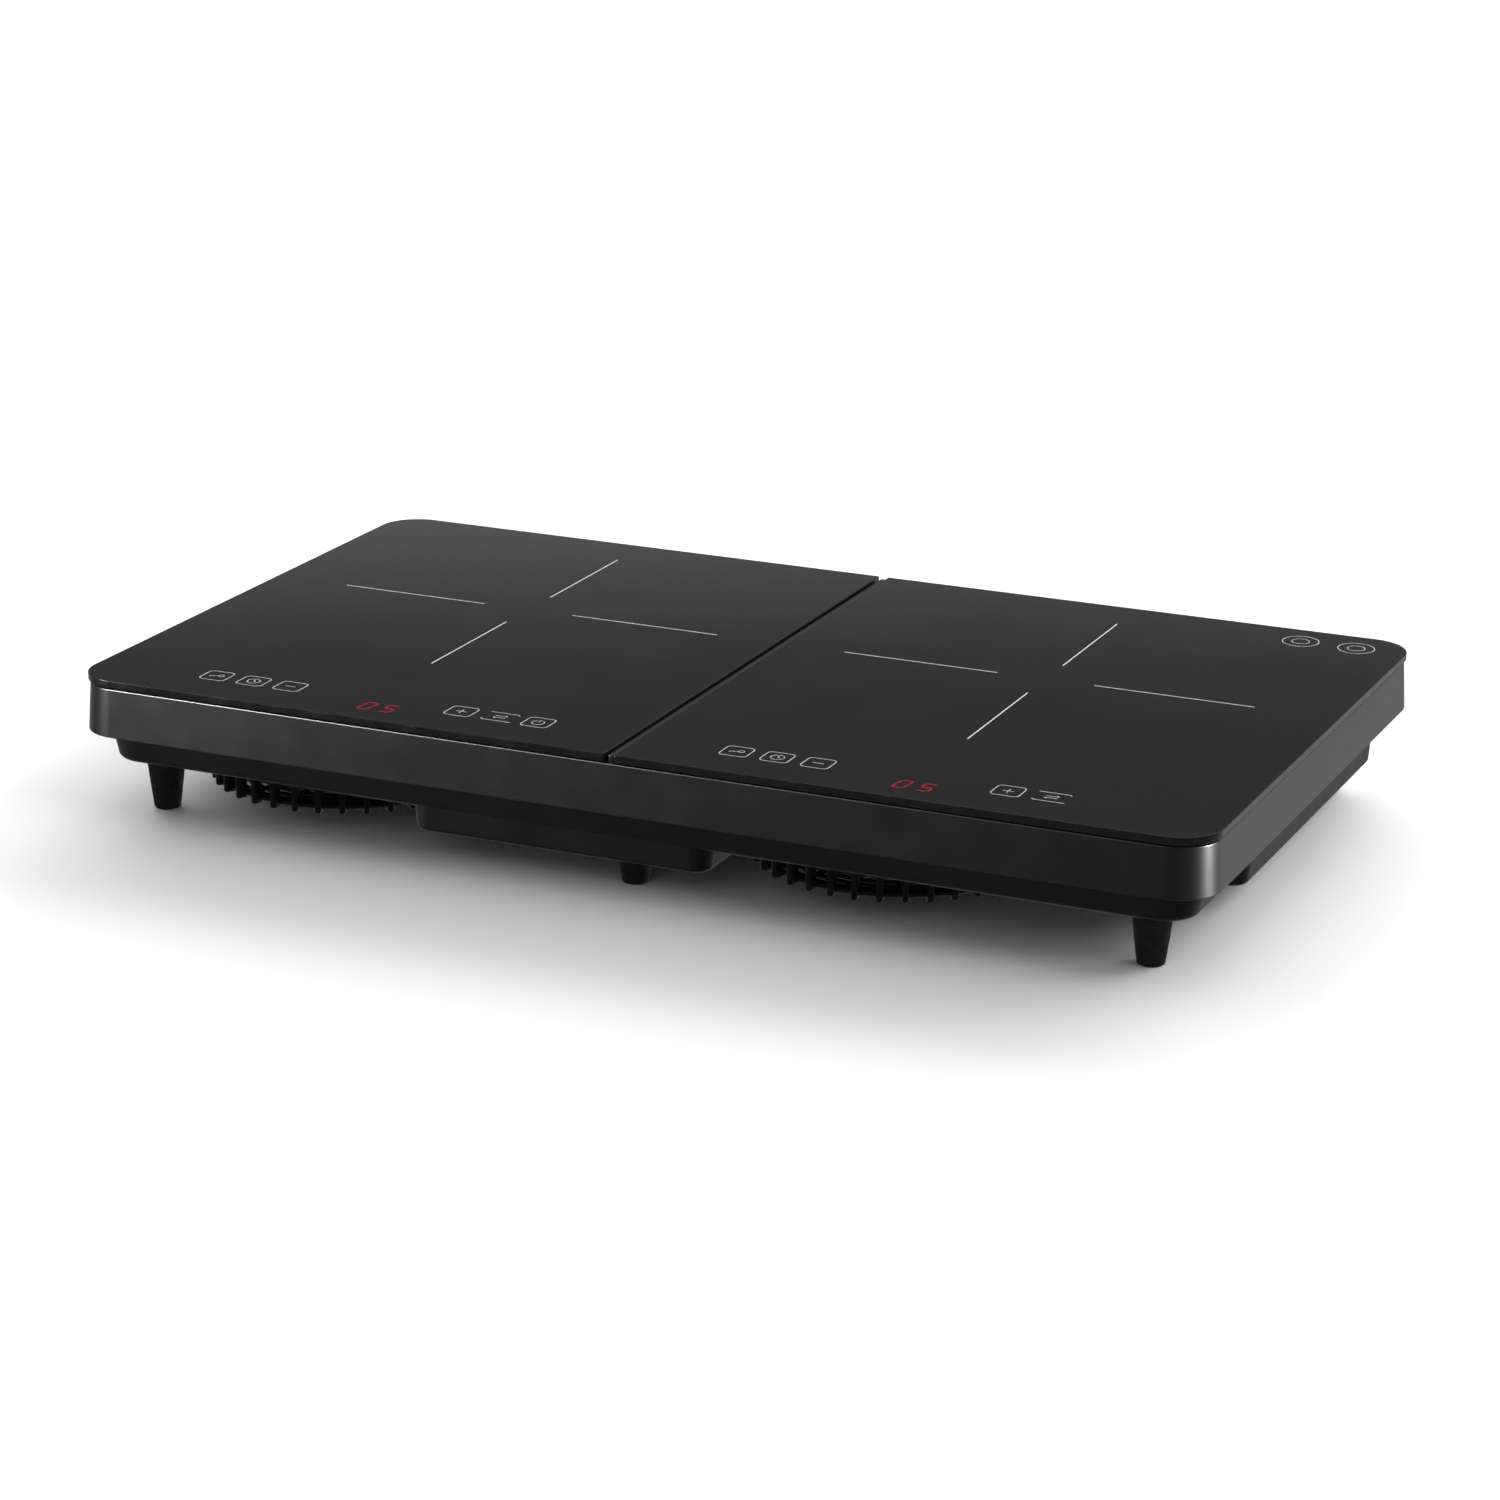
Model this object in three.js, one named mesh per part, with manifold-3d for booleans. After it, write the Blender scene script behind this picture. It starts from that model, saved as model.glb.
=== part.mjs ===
// Portable double induction cooktop, millimetres, +Z up.
// Origin: the floor under the middle of the object. +X is right and -Y is the control side.
import * as THREE from 'three';
import { mergeVertices } from 'three/addons/utils/BufferGeometryUtils.js';
import Module from 'manifold-3d';

const wasm = await Module();
wasm.setup();

// ---------------------------------------------------------------- driving dimensions
const GLASS_WIDTH = 600; // both panes with the gap between them, along X
const GLASS_DEPTH = 350; // along Y
const GLASS_THICKNESS = 4;
const GLASS_TOP = 74; // height of the cooking surface above the floor
const PANE_GAP = 5; // between the two panes
const CORNER_RADIUS = 22; // outer corners of the panes
const PANE_INNER_RADIUS = 1.2; // corners beside the divider
const GAP = 0.3; // between pieces that touch

const MODULE_X = 150; // middle of each half, left and right of the centre
const ZONE = { x: 146.3, y: 32 }; // cooking zone centres
const FAN = { left: -190.5, right: 113.5, y: -84 }; // fan axes
const KEY_ROW_Y = -144;
const KEY_SHIFT_RIGHT = 287; // the right pane repeats the key row this far along

const SHELL = { top: 69.4, bottom: 43.8, topInset: 1, bottomGrow: 0.5, rim: 1, wall: 2.6 };
const BASE = { top: 44.2, bottom: 27.6, flange: 2.2, wall: 2.2, topInset: 8.5, draft: 2.9, edge: 4 };
const BELLY = { halfWidth: 284.5, front: -66, back: 157, bottom: 14, radius: 9, edge: 2.5, scallop: 80 };
const FRONT_STEP = { left: -116, right: 44, front: -159, back: -113, radius: 9, edge: 2.5 };

const GRILLE = { radius: 72, ribs: 36, bottom: 12, ribWidth: 3.6, ribDepth: 4, openRadius: 64 };
const FOOT = { x: 265, frontY: -144, backY: 140, tipRadius: 6.9, taper: 0.114, edge: 1.4 };
const SCREW = { shank: 1.7, head: 3.2, headHeight: 2.4, recess: 3.7, seat: 18, slot: 0.5 };
const POST = { radius: 4.6, bottom: 33.3, thread: 16, boss: [6.5, 5.5] }; // columns that take the foot screws

const COIL = { inner: 24, outer: 93, bottom: 63.4, top: 68.7 };
const CARRIER = { bottom: 58, top: 63.1, arms: 6, armWidth: 13, earRadius: 104, pin: 2.1 };
const CARRIER_EARS = [90, 205, 335]; // degrees round the zone centre
const BOARD = { width: 224, front: 12, back: 124, bottom: 24, thickness: 1.6 };
const FAN_FRAME = { outer: 62, inner: 58.4, bottom: 30.1, top: 48, hub: 18 };
const ROTOR = { tip: 56.6, hub: 19, bottom: 35.5, top: 46.8, blades: 7 };
const VENTS = { count: 11, pitch: 10, width: 4, bottom: 32, top: 41 }; // exhaust slots of one half

const ARC = 8; // segments round an outer corner
const ROUND = 16; // segments round a small cylinder
const HOLE = 8; // segments round a hidden hole or stand-off
const SIMPLIFY = 0.01; // flat faces keep only the edges they need

// ---------------------------------------------------------------- helpers
const rad = THREE.MathUtils.degToRad;

function toSolid(geometry) {
  const bare = geometry.clone();
  bare.deleteAttribute('normal');
  bare.deleteAttribute('uv');
  const merged = mergeVertices(bare, 1e-4);
  const mesh = new wasm.Mesh({
    numProp: 3,
    vertProperties: new Float32Array(merged.attributes.position.array),
    triVerts: new Uint32Array(merged.index.array),
  });
  return new wasm.Manifold(mesh);
}

function toGeometry(manifold) {
  const mesh = manifold.simplify(SIMPLIFY).getMesh();
  const geometry = new THREE.BufferGeometry();
  geometry.setAttribute('position', new THREE.BufferAttribute(mesh.vertProperties, 3));
  geometry.setIndex(new THREE.BufferAttribute(mesh.triVerts, 1));
  geometry.computeVertexNormals();
  return geometry;
}

function joined(solids) {
  return solids.reduce((sum, next) => sum.add(next));
}

// Box from its lowest to its highest corner.
function block(low, high) {
  const size = high.map((value, axis) => value - low[axis]);
  const geometry = new THREE.BoxGeometry(...size);
  geometry.translate(...low.map((value, axis) => value + size[axis] / 2));
  return toSolid(geometry);
}

// Upright cylinder or cone.
function post(x, y, low, high, lowRadius, highRadius = lowRadius, segments = ROUND) {
  const geometry = new THREE.CylinderGeometry(highRadius, lowRadius, high - low, segments);
  geometry.rotateX(Math.PI / 2);
  geometry.translate(x, y, (low + high) / 2);
  return toSolid(geometry);
}

// Solid of revolution about an upright axis; profile points are [radius, height].
function turned(profile, x = 0, y = 0, segments = ROUND) {
  const points = profile.map(([radius, height]) => new THREE.Vector2(radius, height));
  const geometry = new THREE.LatheGeometry(points, segments);
  geometry.rotateX(Math.PI / 2);
  geometry.translate(x, y, 0);
  return toSolid(geometry);
}

// Upright ring with a rectangular section.
function ring(inner, outer, low, high, x = 0, y = 0, segments = 48) {
  return turned([[inner, low], [outer, low], [outer, high], [inner, high], [inner, low]], x, y, segments);
}

// Outline with four rounded corners, anticlockwise from the front right one.
function outline({ left, right, front, back }, radii, segments = ARC) {
  const corners = [
    [right - radii[0], front + radii[0], -90],
    [right - radii[1], back - radii[1], 0],
    [left + radii[2], back - radii[2], 90],
    [left + radii[3], front + radii[3], 180],
  ];
  return corners.flatMap(([x, y, start], corner) =>
    Array.from({ length: segments + 1 }, (_, step) => {
      const angle = rad(start + (90 * step) / segments);
      return new THREE.Vector2(x + radii[corner] * Math.cos(angle), y + radii[corner] * Math.sin(angle));
    }),
  );
}

function grown(rect, by) {
  return { left: rect.left - by, right: rect.right + by, front: rect.front - by, back: rect.back + by };
}

// Closed skin through a stack of rings of points, with both ends capped.
function skin(rings) {
  const count = rings[0].length;
  const positions = rings.flatMap((points) => points.flatMap((point) => [point.x, point.y, point.z]));
  const faces = [];
  for (let level = 0; level + 1 < rings.length; level += 1) {
    for (let i = 0; i < count; i += 1) {
      const next = (i + 1) % count;
      const low = level * count;
      const high = low + count;
      faces.push(low + i, low + next, high + next, low + i, high + next, high + i);
    }
  }
  const lastRing = (rings.length - 1) * count;
  for (let i = 1; i + 1 < count; i += 1) {
    faces.push(0, i + 1, i, lastRing, lastRing + i, lastRing + i + 1);
  }
  const geometry = new THREE.BufferGeometry();
  geometry.setAttribute('position', new THREE.Float32BufferAttribute(positions, 3));
  geometry.setIndex(faces);
  return toSolid(geometry);
}

// Rounded rectangle that changes size with height; levels are [height, growth].
function tub(rect, radius, levels, segments = ARC) {
  const radii = Array.isArray(radius) ? radius : [radius, radius, radius, radius];
  return skin(
    levels.map(([height, growth]) =>
      outline(grown(rect, growth), radii.map((value) => value + growth), segments).map(
        (point) => new THREE.Vector3(point.x, point.y, height),
      ),
    ),
  );
}

function polar(radius, degrees) {
  return [radius * Math.cos(rad(degrees)), radius * Math.sin(rad(degrees))];
}

// ---------------------------------------------------------------- group and materials
const cooktop = new THREE.Group();

function material(color, roughness, metalness) {
  return new THREE.MeshStandardMaterial({ color, roughness, metalness });
}

const BLACK_GLASS = material(0x101113, 0.12, 0);
const SATIN_SHELL = material(0x26282a, 0.42, 0.2);
const BASE_PLASTIC = material(0x1c1d1f, 0.55, 0);
const FOOT_PLASTIC = material(0x1a1b1c, 0.6, 0);
const SILICONE = material(0x2a2a2b, 0.8, 0);
const STEEL = material(0x9a9da1, 0.35, 1);
const COPPER = material(0xa85c32, 0.4, 0.8);
const CARRIER_PLASTIC = material(0xd8d4c8, 0.6, 0);
const FERRITE = material(0x3a3b3d, 0.7, 0.1);
const MICA = material(0xb9ab8c, 0.6, 0);
const FAN_PLASTIC = material(0x141516, 0.5, 0);
const BOARD_GREEN = material(0x1f5a36, 0.5, 0);
const ALUMINIUM = material(0xb4b7ba, 0.4, 1);
const PACKAGE_BLACK = material(0x191919, 0.5, 0);
const CAPACITOR_YELLOW = material(0xc9a227, 0.45, 0);
const CERAMIC = material(0xe6e2d6, 0.5, 0);
const DISPLAY_RED = material(0x5a1414, 0.3, 0);

function add(name, solid, finish) {
  const mesh = new THREE.Mesh(toGeometry(solid), finish);
  mesh.name = name;
  cooktop.add(mesh);
}

// ---------------------------------------------------------------- shared outlines
const GLASS_BOTTOM = GLASS_TOP - GLASS_THICKNESS;
const WHOLE = {
  left: -GLASS_WIDTH / 2,
  right: GLASS_WIDTH / 2,
  front: -GLASS_DEPTH / 2,
  back: GLASS_DEPTH / 2,
};
const BASE_RECT = grown(WHOLE, -BASE.topInset);
const BASE_RADIUS = CORNER_RADIUS - 2;
const BELLY_RECT = {
  left: -BELLY.halfWidth,
  right: BELLY.halfWidth,
  front: BELLY.front,
  back: BELLY.back,
};
const SIDES = [
  { name: 'left', sign: -1, keyShift: 0 },
  { name: 'right', sign: 1, keyShift: KEY_SHIFT_RIGHT },
];

function paneRect(sign) {
  return sign < 0 ? { ...WHOLE, right: -PANE_GAP / 2 } : { ...WHOLE, left: PANE_GAP / 2 };
}

function paneRadii(sign, inset = 0) {
  const outer = CORNER_RADIUS - inset;
  const inner = PANE_INNER_RADIUS;
  return sign < 0 ? [inner, inner, outer, outer] : [outer, outer, inner, inner];
}

function fanCentre(sign) {
  return [sign < 0 ? FAN.left : FAN.right, FAN.y];
}

const FEET = [
  { name: 'front_left', x: -FOOT.x, y: FOOT.frontY, seat: BASE.bottom },
  { name: 'front_center', x: 0, y: FOOT.frontY, seat: BELLY.bottom },
  { name: 'front_right', x: FOOT.x, y: FOOT.frontY, seat: BASE.bottom },
  { name: 'rear_left', x: -FOOT.x, y: FOOT.backY, seat: BELLY.bottom },
  { name: 'rear_center', x: 0, y: FOOT.backY, seat: BELLY.bottom },
  { name: 'rear_right', x: FOOT.x, y: FOOT.backY, seat: BELLY.bottom },
];

// ---------------------------------------------------------------- glass panes and their seals
const GLASS_CHAMFER = 0.6;
const LEDGE = { inner: 10.5, outer: 4, depth: 1.9 }; // seal channel, measured in from the pane edge

function glassPane(sign) {
  return tub(paneRect(sign), paneRadii(sign), [
    [GLASS_BOTTOM, -GLASS_CHAMFER],
    [GLASS_BOTTOM + GLASS_CHAMFER, 0],
    [GLASS_TOP - GLASS_CHAMFER, 0],
    [GLASS_TOP, -GLASS_CHAMFER],
  ]);
}

// Frame-shaped band that follows a pane, between two distances in from its edge.
function paneBand(sign, outerInset, innerInset, low, high) {
  const rect = paneRect(sign);
  const outer = tub(grown(rect, -outerInset), paneRadii(sign, outerInset), [[low, 0], [high, 0]], 6);
  const inner = tub(grown(rect, -innerInset), paneRadii(sign, innerInset), [[low - 1, 0], [high + 1, 0]], 6);
  return outer.subtract(inner);
}

for (const { name, sign } of SIDES) {
  add(`glass_${name}`, glassPane(sign), BLACK_GLASS);
  const sealBottom = SHELL.top - LEDGE.depth + GAP;
  const seal = paneBand(sign, LEDGE.outer + GAP, LEDGE.inner - 2, sealBottom, GLASS_BOTTOM - GAP);
  add(`glass_seal_${name}`, seal, SILICONE);
}

// ---------------------------------------------------------------- upper housing
const DIVIDER = { left: -1.5, right: 2.2, top: 73.1, endInset: 0.8 };
const GUSSET = { width: 3, low: 47, reach: 298 }; // rib from a corner column to the side wall
const TOP_PLATE = 3.4; // thickness of the plate that carries the panes

function upperHousing() {
  const outer = tub(WHOLE, CORNER_RADIUS, [
    [SHELL.bottom, SHELL.bottomGrow - 0.5],
    [SHELL.bottom + 0.6, SHELL.bottomGrow],
    [SHELL.top - SHELL.rim, -SHELL.topInset],
    [SHELL.top - 0.3, -SHELL.topInset - 0.3],
    [SHELL.top, -SHELL.topInset - SHELL.rim],
  ]);
  const inner = tub(WHOLE, CORNER_RADIUS, [
    [SHELL.bottom - 1, SHELL.bottomGrow - SHELL.wall],
    [SHELL.top - TOP_PLATE, -SHELL.topInset - SHELL.wall],
  ]);
  const endY = GLASS_DEPTH / 2 - SHELL.topInset - DIVIDER.endInset;
  let shell = outer.subtract(inner);
  for (const { sign } of SIDES) {
    const rect = paneRect(sign);
    const window = tub(grown(rect, -LEDGE.inner), paneRadii(sign, LEDGE.inner), [
      [SHELL.top - TOP_PLATE - 1, 0],
      [SHELL.top + 1, 0],
    ], 6);
    const channel = paneBand(sign, LEDGE.outer, LEDGE.inner + 1, SHELL.top - LEDGE.depth, SHELL.top + 1);
    shell = shell.subtract(window).subtract(channel);
  }
  const divider = block(
    [DIVIDER.left, -endY, SHELL.top - TOP_PLATE],
    [DIVIDER.right, endY, DIVIDER.top],
  );
  const { radius } = POST;
  const columns = FEET.map(({ x, y }) => post(x, y, POST.bottom, SHELL.top - 2, radius, radius, 12));
  const gussets = FEET.filter(({ x }) => x !== 0).map(({ x, y }) => {
    const ends = [x, Math.sign(x) * GUSSET.reach].sort((a, b) => a - b);
    return block(
      [ends[0], y - GUSSET.width / 2, GUSSET.low],
      [ends[1], y + GUSSET.width / 2, SHELL.top - TOP_PLATE],
    );
  });
  const threads = FEET.map(({ x, y }) =>
    post(x, y, POST.bottom - 1, POST.bottom + POST.thread, SCREW.shank + GAP, SCREW.shank + GAP, HOLE),
  );
  return joined([shell, divider, ...columns, ...gussets]).subtract(joined(threads));
}

add('upper_housing', upperHousing(), SATIN_SHELL);

// ---------------------------------------------------------------- lower housing
const FLANGE_INSET = 2.8; // flange edge, in from the glass edge, inside the skirt of the upper housing
const VENT_SLOTS = { front: 40, back: 110, pitch: 14, width: 4, count: 5 }; // under one half
const GLAND = { x: 0, z: 35, outer: 7, bore: 4.2, flange: 8.2, back: 175 };
const STANDOFF = { x: 100, front: 22, back: 114, radii: [3.6, 3], hole: 1.6 };
const PILLAR = [5, 4.2]; // radii of a coil carrier's pillar, foot and top

// Walls, floor and steps of the base pan; a thickness above 0 gives the hollow inside them.
function panBody(thickness) {
  const inset = -thickness;
  const floor = BASE.bottom + thickness;
  const open = thickness > 0 ? 5 : 0;
  const wall = tub(BASE_RECT, BASE_RADIUS, [
    [floor, inset - BASE.draft - BASE.edge],
    [floor + BASE.edge * 0.3, inset - BASE.draft - BASE.edge * 0.3],
    [floor + BASE.edge, inset - BASE.draft],
    [BASE.top + open, inset],
  ], 6);
  const bellyFloor = BELLY.bottom + thickness;
  const bellyLevels = [
    [bellyFloor, inset - BELLY.edge],
    [bellyFloor + BELLY.edge, inset],
    [floor + 3, inset + 1.2],
  ];
  const scallops = SIDES.map(({ sign }) =>
    post(...fanCentre(sign), bellyFloor - 1, floor, BELLY.scallop + thickness, BELLY.scallop + thickness, 32),
  );
  const belly = tub(BELLY_RECT, BELLY.radius, bellyLevels, 4).subtract(joined(scallops));
  const step = tub(FRONT_STEP, FRONT_STEP.radius, bellyLevels, 4);
  return joined([wall, belly, step]);
}

function ventSlots(sign) {
  const rear = Array.from({ length: VENTS.count }, (_, i) => {
    const x = sign * MODULE_X + (i - (VENTS.count - 1) / 2) * VENTS.pitch;
    return block(
      [x - VENTS.width / 2, GLASS_DEPTH / 2 - 20, VENTS.bottom],
      [x + VENTS.width / 2, GLASS_DEPTH / 2, VENTS.top],
    );
  });
  const under = Array.from({ length: VENT_SLOTS.count }, (_, i) => {
    const x = sign * MODULE_X + (i - (VENT_SLOTS.count - 1) / 2) * VENT_SLOTS.pitch;
    return block(
      [x - VENT_SLOTS.width / 2, VENT_SLOTS.front, BELLY.bottom - 1],
      [x + VENT_SLOTS.width / 2, VENT_SLOTS.back, BELLY.bottom + 4],
    );
  });
  return [...rear, ...under];
}

function lowerHousing() {
  const flangeRect = grown(WHOLE, -FLANGE_INSET);
  const flange = tub(flangeRect, CORNER_RADIUS - 2, [[BASE.top, 0], [BASE.top + BASE.flange, 0]], 6);
  const pan = panBody(0).add(flange).subtract(panBody(BASE.wall));
  const adds = FEET.map(({ x, y, seat }) => post(x, y, seat + 1, POST.bottom - GAP, ...POST.boss, 12));
  const cuts = [];
  for (const { x, y, seat } of FEET) {
    cuts.push(post(x, y, seat - 1, POST.bottom + 1, SCREW.shank + GAP, SCREW.shank + GAP, HOLE));
  }
  for (const { sign } of SIDES) {
    const { openRadius } = GRILLE;
    cuts.push(post(...fanCentre(sign), BASE.bottom - 1, BASE.bottom + 4, openRadius, openRadius, 32));
    for (const angle of CARRIER_EARS) {
      const [dx, dy] = polar(CARRIER.earRadius, angle);
      const [x, y] = [sign * ZONE.x + dx, ZONE.y + dy];
      adds.push(post(x, y, BELLY.bottom + 1, CARRIER.bottom - GAP, ...PILLAR, HOLE));
      adds.push(post(x, y, CARRIER.bottom - 1, CARRIER.top + 1, CARRIER.pin, CARRIER.pin, HOLE));
    }
    for (const dx of [-STANDOFF.x, STANDOFF.x]) {
      for (const y of [STANDOFF.front, STANDOFF.back]) {
        const x = sign * MODULE_X + dx;
        adds.push(post(x, y, BELLY.bottom + 1, BOARD.bottom - GAP, ...STANDOFF.radii, HOLE));
      }
    }
    cuts.push(...ventSlots(sign));
  }
  const cable = new THREE.CylinderGeometry(GLAND.outer + GAP, GLAND.outer + GAP, 40, ROUND);
  cable.translate(GLAND.x, GLASS_DEPTH / 2, GLAND.z);
  cuts.push(toSolid(cable));
  return pan.add(joined(adds)).subtract(joined(cuts));
}

add('lower_housing', lowerHousing(), BASE_PLASTIC);

// ---------------------------------------------------------------- air-intake grilles
const GRILLE_RING = { top: BASE.bottom - GAP, thickness: 2.4, inner: 66, low: 13.2, high: 16.2 };
const GRILLE_HOOP = [38, 42]; // inner and outer radius of the lower hoop
const GRILLE_HUB = { radius: 14, spokes: 8, spokeWidth: 3 };

function grille(sign) {
  const { radius, ribs, bottom, ribWidth, ribDepth } = GRILLE;
  const { top, thickness, inner, low, high } = GRILLE_RING;
  const legInner = radius - ribDepth;
  const pieces = [
    ring(inner, radius + 0.4, top - thickness, top, 0, 0, ribs),
    ring(inner, radius - 1.8, low, high, 0, 0, ribs),
    ring(...GRILLE_HOOP, low, high, 0, 0, ROUND),
    post(0, 0, low, high, GRILLE_HUB.radius, GRILLE_HUB.radius, ROUND),
  ];
  for (let i = 0; i < GRILLE_HUB.spokes; i += 1) {
    const half = GRILLE_HUB.spokeWidth / 2;
    const spoke = block([GRILLE_HUB.radius - 1, -half, low], [inner + 1, half, high]);
    pieces.push(spoke.rotate([0, 0, (i * 360) / GRILLE_HUB.spokes]));
  }
  for (let i = 0; i < ribs; i += 1) {
    const profile = [
      [legInner, bottom],
      [radius - 1, bottom],
      [radius, bottom + 1.2],
      [radius, top - thickness + 0.5],
      [legInner, top - thickness + 0.5],
    ];
    const shape = new THREE.Shape(profile.map(([r, z]) => new THREE.Vector2(r, z)));
    const geometry = new THREE.ExtrudeGeometry(shape, { depth: ribWidth, bevelEnabled: false });
    geometry.translate(0, 0, -ribWidth / 2);
    geometry.rotateX(Math.PI / 2);
    geometry.rotateZ(((i + 0.5) * 2 * Math.PI) / ribs);
    pieces.push(toSolid(geometry));
  }
  return joined(pieces).translate([...fanCentre(sign), 0]);
}

for (const { name, sign } of SIDES) {
  add(`intake_grille_${name}`, grille(sign), BASE_PLASTIC);
}

// ---------------------------------------------------------------- feet and the screws that hold them
for (const { name, x, y, seat } of FEET) {
  const top = seat - GAP;
  const headSeat = Math.min(top - 4, SCREW.seat);
  const topRadius = FOOT.tipRadius + FOOT.taper * top;
  const foot = turned([
    [0, 0],
    [FOOT.tipRadius - FOOT.edge, 0],
    [FOOT.tipRadius - FOOT.edge * 0.3, FOOT.edge * 0.3],
    [FOOT.tipRadius, FOOT.edge],
    [topRadius, top],
    [0, top],
  ], x, y);
  const bore = turned([
    [0, -1],
    [SCREW.recess, -1],
    [SCREW.recess, headSeat],
    [SCREW.shank + GAP, headSeat],
    [SCREW.shank + GAP, top + 1],
    [0, top + 1],
  ], x, y, HOLE);
  add(`foot_${name}`, foot.subtract(bore), FOOT_PLASTIC);
  const head = headSeat - GAP;
  const screw = turned([
    [0, head - SCREW.headHeight],
    [SCREW.head - 0.8, head - SCREW.headHeight],
    [SCREW.head, head - SCREW.headHeight + 0.8],
    [SCREW.head, head],
    [SCREW.shank, head],
    [SCREW.shank, POST.bottom + 10],
    [0, POST.bottom + 11.5],
  ], x, y, 10);
  const slot = block(
    [x - SCREW.head, y - SCREW.slot, head - SCREW.headHeight - 1],
    [x + SCREW.head, y + SCREW.slot, head - SCREW.headHeight + 1],
  );
  add(`screw_${name}`, screw.subtract(slot), STEEL);
}

// ---------------------------------------------------------------- coil, carrier, ferrite, sheet, sensor
const FERRITE_STAR = { bottom: 53.2, top: 57.7, inner: 24, outer: 34, reach: 88, width: 11 };
const SHEET = { bottom: 69, top: 69.7, radius: 99, hole: 13 };
const SENSOR = { radius: 9, shoulder: 65, cap: 6.5, top: 69.7, bottom: 59 };
const CARRIER_RINGS = { hub: [20, 30], rim: [90, 97] }; // inner and outer radii
const CARRIER_ARM = [25, 92]; // ends of an arm, from the middle
const EAR = { half: 6, thickness: 3 };

function coilCarrier(x, y) {
  const { bottom, top, arms, armWidth, pin } = CARRIER;
  const plateTop = top - 1.6;
  const pieces = [
    ring(...CARRIER_RINGS.hub, bottom, plateTop, 0, 0, 16),
    ring(...CARRIER_RINGS.rim, bottom, top, 0, 0, 24),
  ];
  for (let i = 0; i < arms; i += 1) {
    const arm = block([CARRIER_ARM[0], -armWidth / 2, bottom], [CARRIER_ARM[1], armWidth / 2, plateTop]);
    pieces.push(arm.rotate([0, 0, (i * 360) / arms]));
  }
  for (const angle of CARRIER_EARS) {
    const ear = block([95, -EAR.half, bottom], [110, EAR.half, bottom + EAR.thickness]);
    const hole = post(CARRIER.earRadius, 0, bottom - 1, bottom + 4, pin + 0.5, pin + 0.5, HOLE);
    pieces.push(ear.subtract(hole).rotate([0, 0, angle]));
  }
  return joined(pieces).translate([x, y, 0]);
}

function ferriteStar(x, y) {
  const { bottom, top, inner, outer, reach, width } = FERRITE_STAR;
  const pieces = [ring(inner, outer, bottom, top, 0, 0, 16)];
  for (let i = 0; i < CARRIER.arms; i += 1) {
    const bar = block([inner + 4, -width / 2, bottom], [reach, width / 2, top]);
    pieces.push(bar.rotate([0, 0, (i * 360) / CARRIER.arms]));
  }
  return joined(pieces).translate([x, y, 0]);
}

function workCoil(x, y) {
  const { inner, outer, bottom, top } = COIL;
  const bevel = 1.2;
  return turned([
    [inner, bottom + bevel],
    [inner + bevel, bottom],
    [outer - bevel, bottom],
    [outer, bottom + bevel],
    [outer, top - bevel],
    [outer - bevel, top],
    [inner + bevel, top],
    [inner, top - bevel],
    [inner, bottom + bevel],
  ], x, y, 32);
}

for (const { name, sign } of SIDES) {
  const [x, y] = [sign * ZONE.x, ZONE.y];
  add(`coil_${name}`, workCoil(x, y), COPPER);
  add(`coil_carrier_${name}`, coilCarrier(x, y), CARRIER_PLASTIC);
  add(`ferrite_star_${name}`, ferriteStar(x, y), FERRITE);
  add(`insulating_sheet_${name}`, ring(SHEET.hole, SHEET.radius, SHEET.bottom, SHEET.top, x, y, 32), MICA);
  add(`pan_sensor_${name}`, turned([
    [0, SENSOR.bottom],
    [SENSOR.radius, SENSOR.bottom],
    [SENSOR.radius, SENSOR.shoulder],
    [SENSOR.cap, SENSOR.shoulder + 1],
    [SENSOR.cap, SENSOR.top],
    [0, SENSOR.top],
  ], x, y), SILICONE);
}

// ---------------------------------------------------------------- fans
const FAN_EARS = [45, 135, 225, 315];
const FAN_FLOOR = 3; // thickness of the spokes under the rotor
const FAN_EAR = { half: 5, reach: 11, hole: 2 };
const FAN_SPOKE = { half: 2.5, start: 10 };
const SPINDLE = { radius: 1.5, bore: 1.9, low: 31 };
const BLADE = { thickness: 1.6, rootChord: 13, tipChord: 25, rootPitch: 42, tipPitch: 24, stations: 4 };

function fanFrame(sign) {
  const { outer, inner, bottom, top, hub } = FAN_FRAME;
  const pieces = [
    ring(inner, outer, bottom, top, 0, 0, 32),
    post(0, 0, bottom, bottom + FAN_FLOOR + 1, hub, hub - 1, ROUND),
  ];
  for (const angle of [0, 90, 180, 270]) {
    const { half, start } = FAN_SPOKE;
    const spoke = block([start, -half, bottom], [inner + 1.5, half, bottom + FAN_FLOOR]);
    pieces.push(spoke.rotate([0, 0, angle]));
  }
  for (const angle of FAN_EARS) {
    const { half, reach, hole } = FAN_EAR;
    const ear = block([outer - 2, -half, bottom], [outer + reach, half, bottom + FAN_FLOOR]);
    const bolt = post(outer + 6, 0, bottom - 1, bottom + 4, hole, hole, HOLE);
    pieces.push(ear.subtract(bolt).rotate([0, 0, angle]));
  }
  const bore = post(0, 0, SPINDLE.low - GAP, bottom + 10, SPINDLE.bore, SPINDLE.bore, 16);
  return joined(pieces).subtract(bore).translate([...fanCentre(sign), 0]);
}

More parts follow.
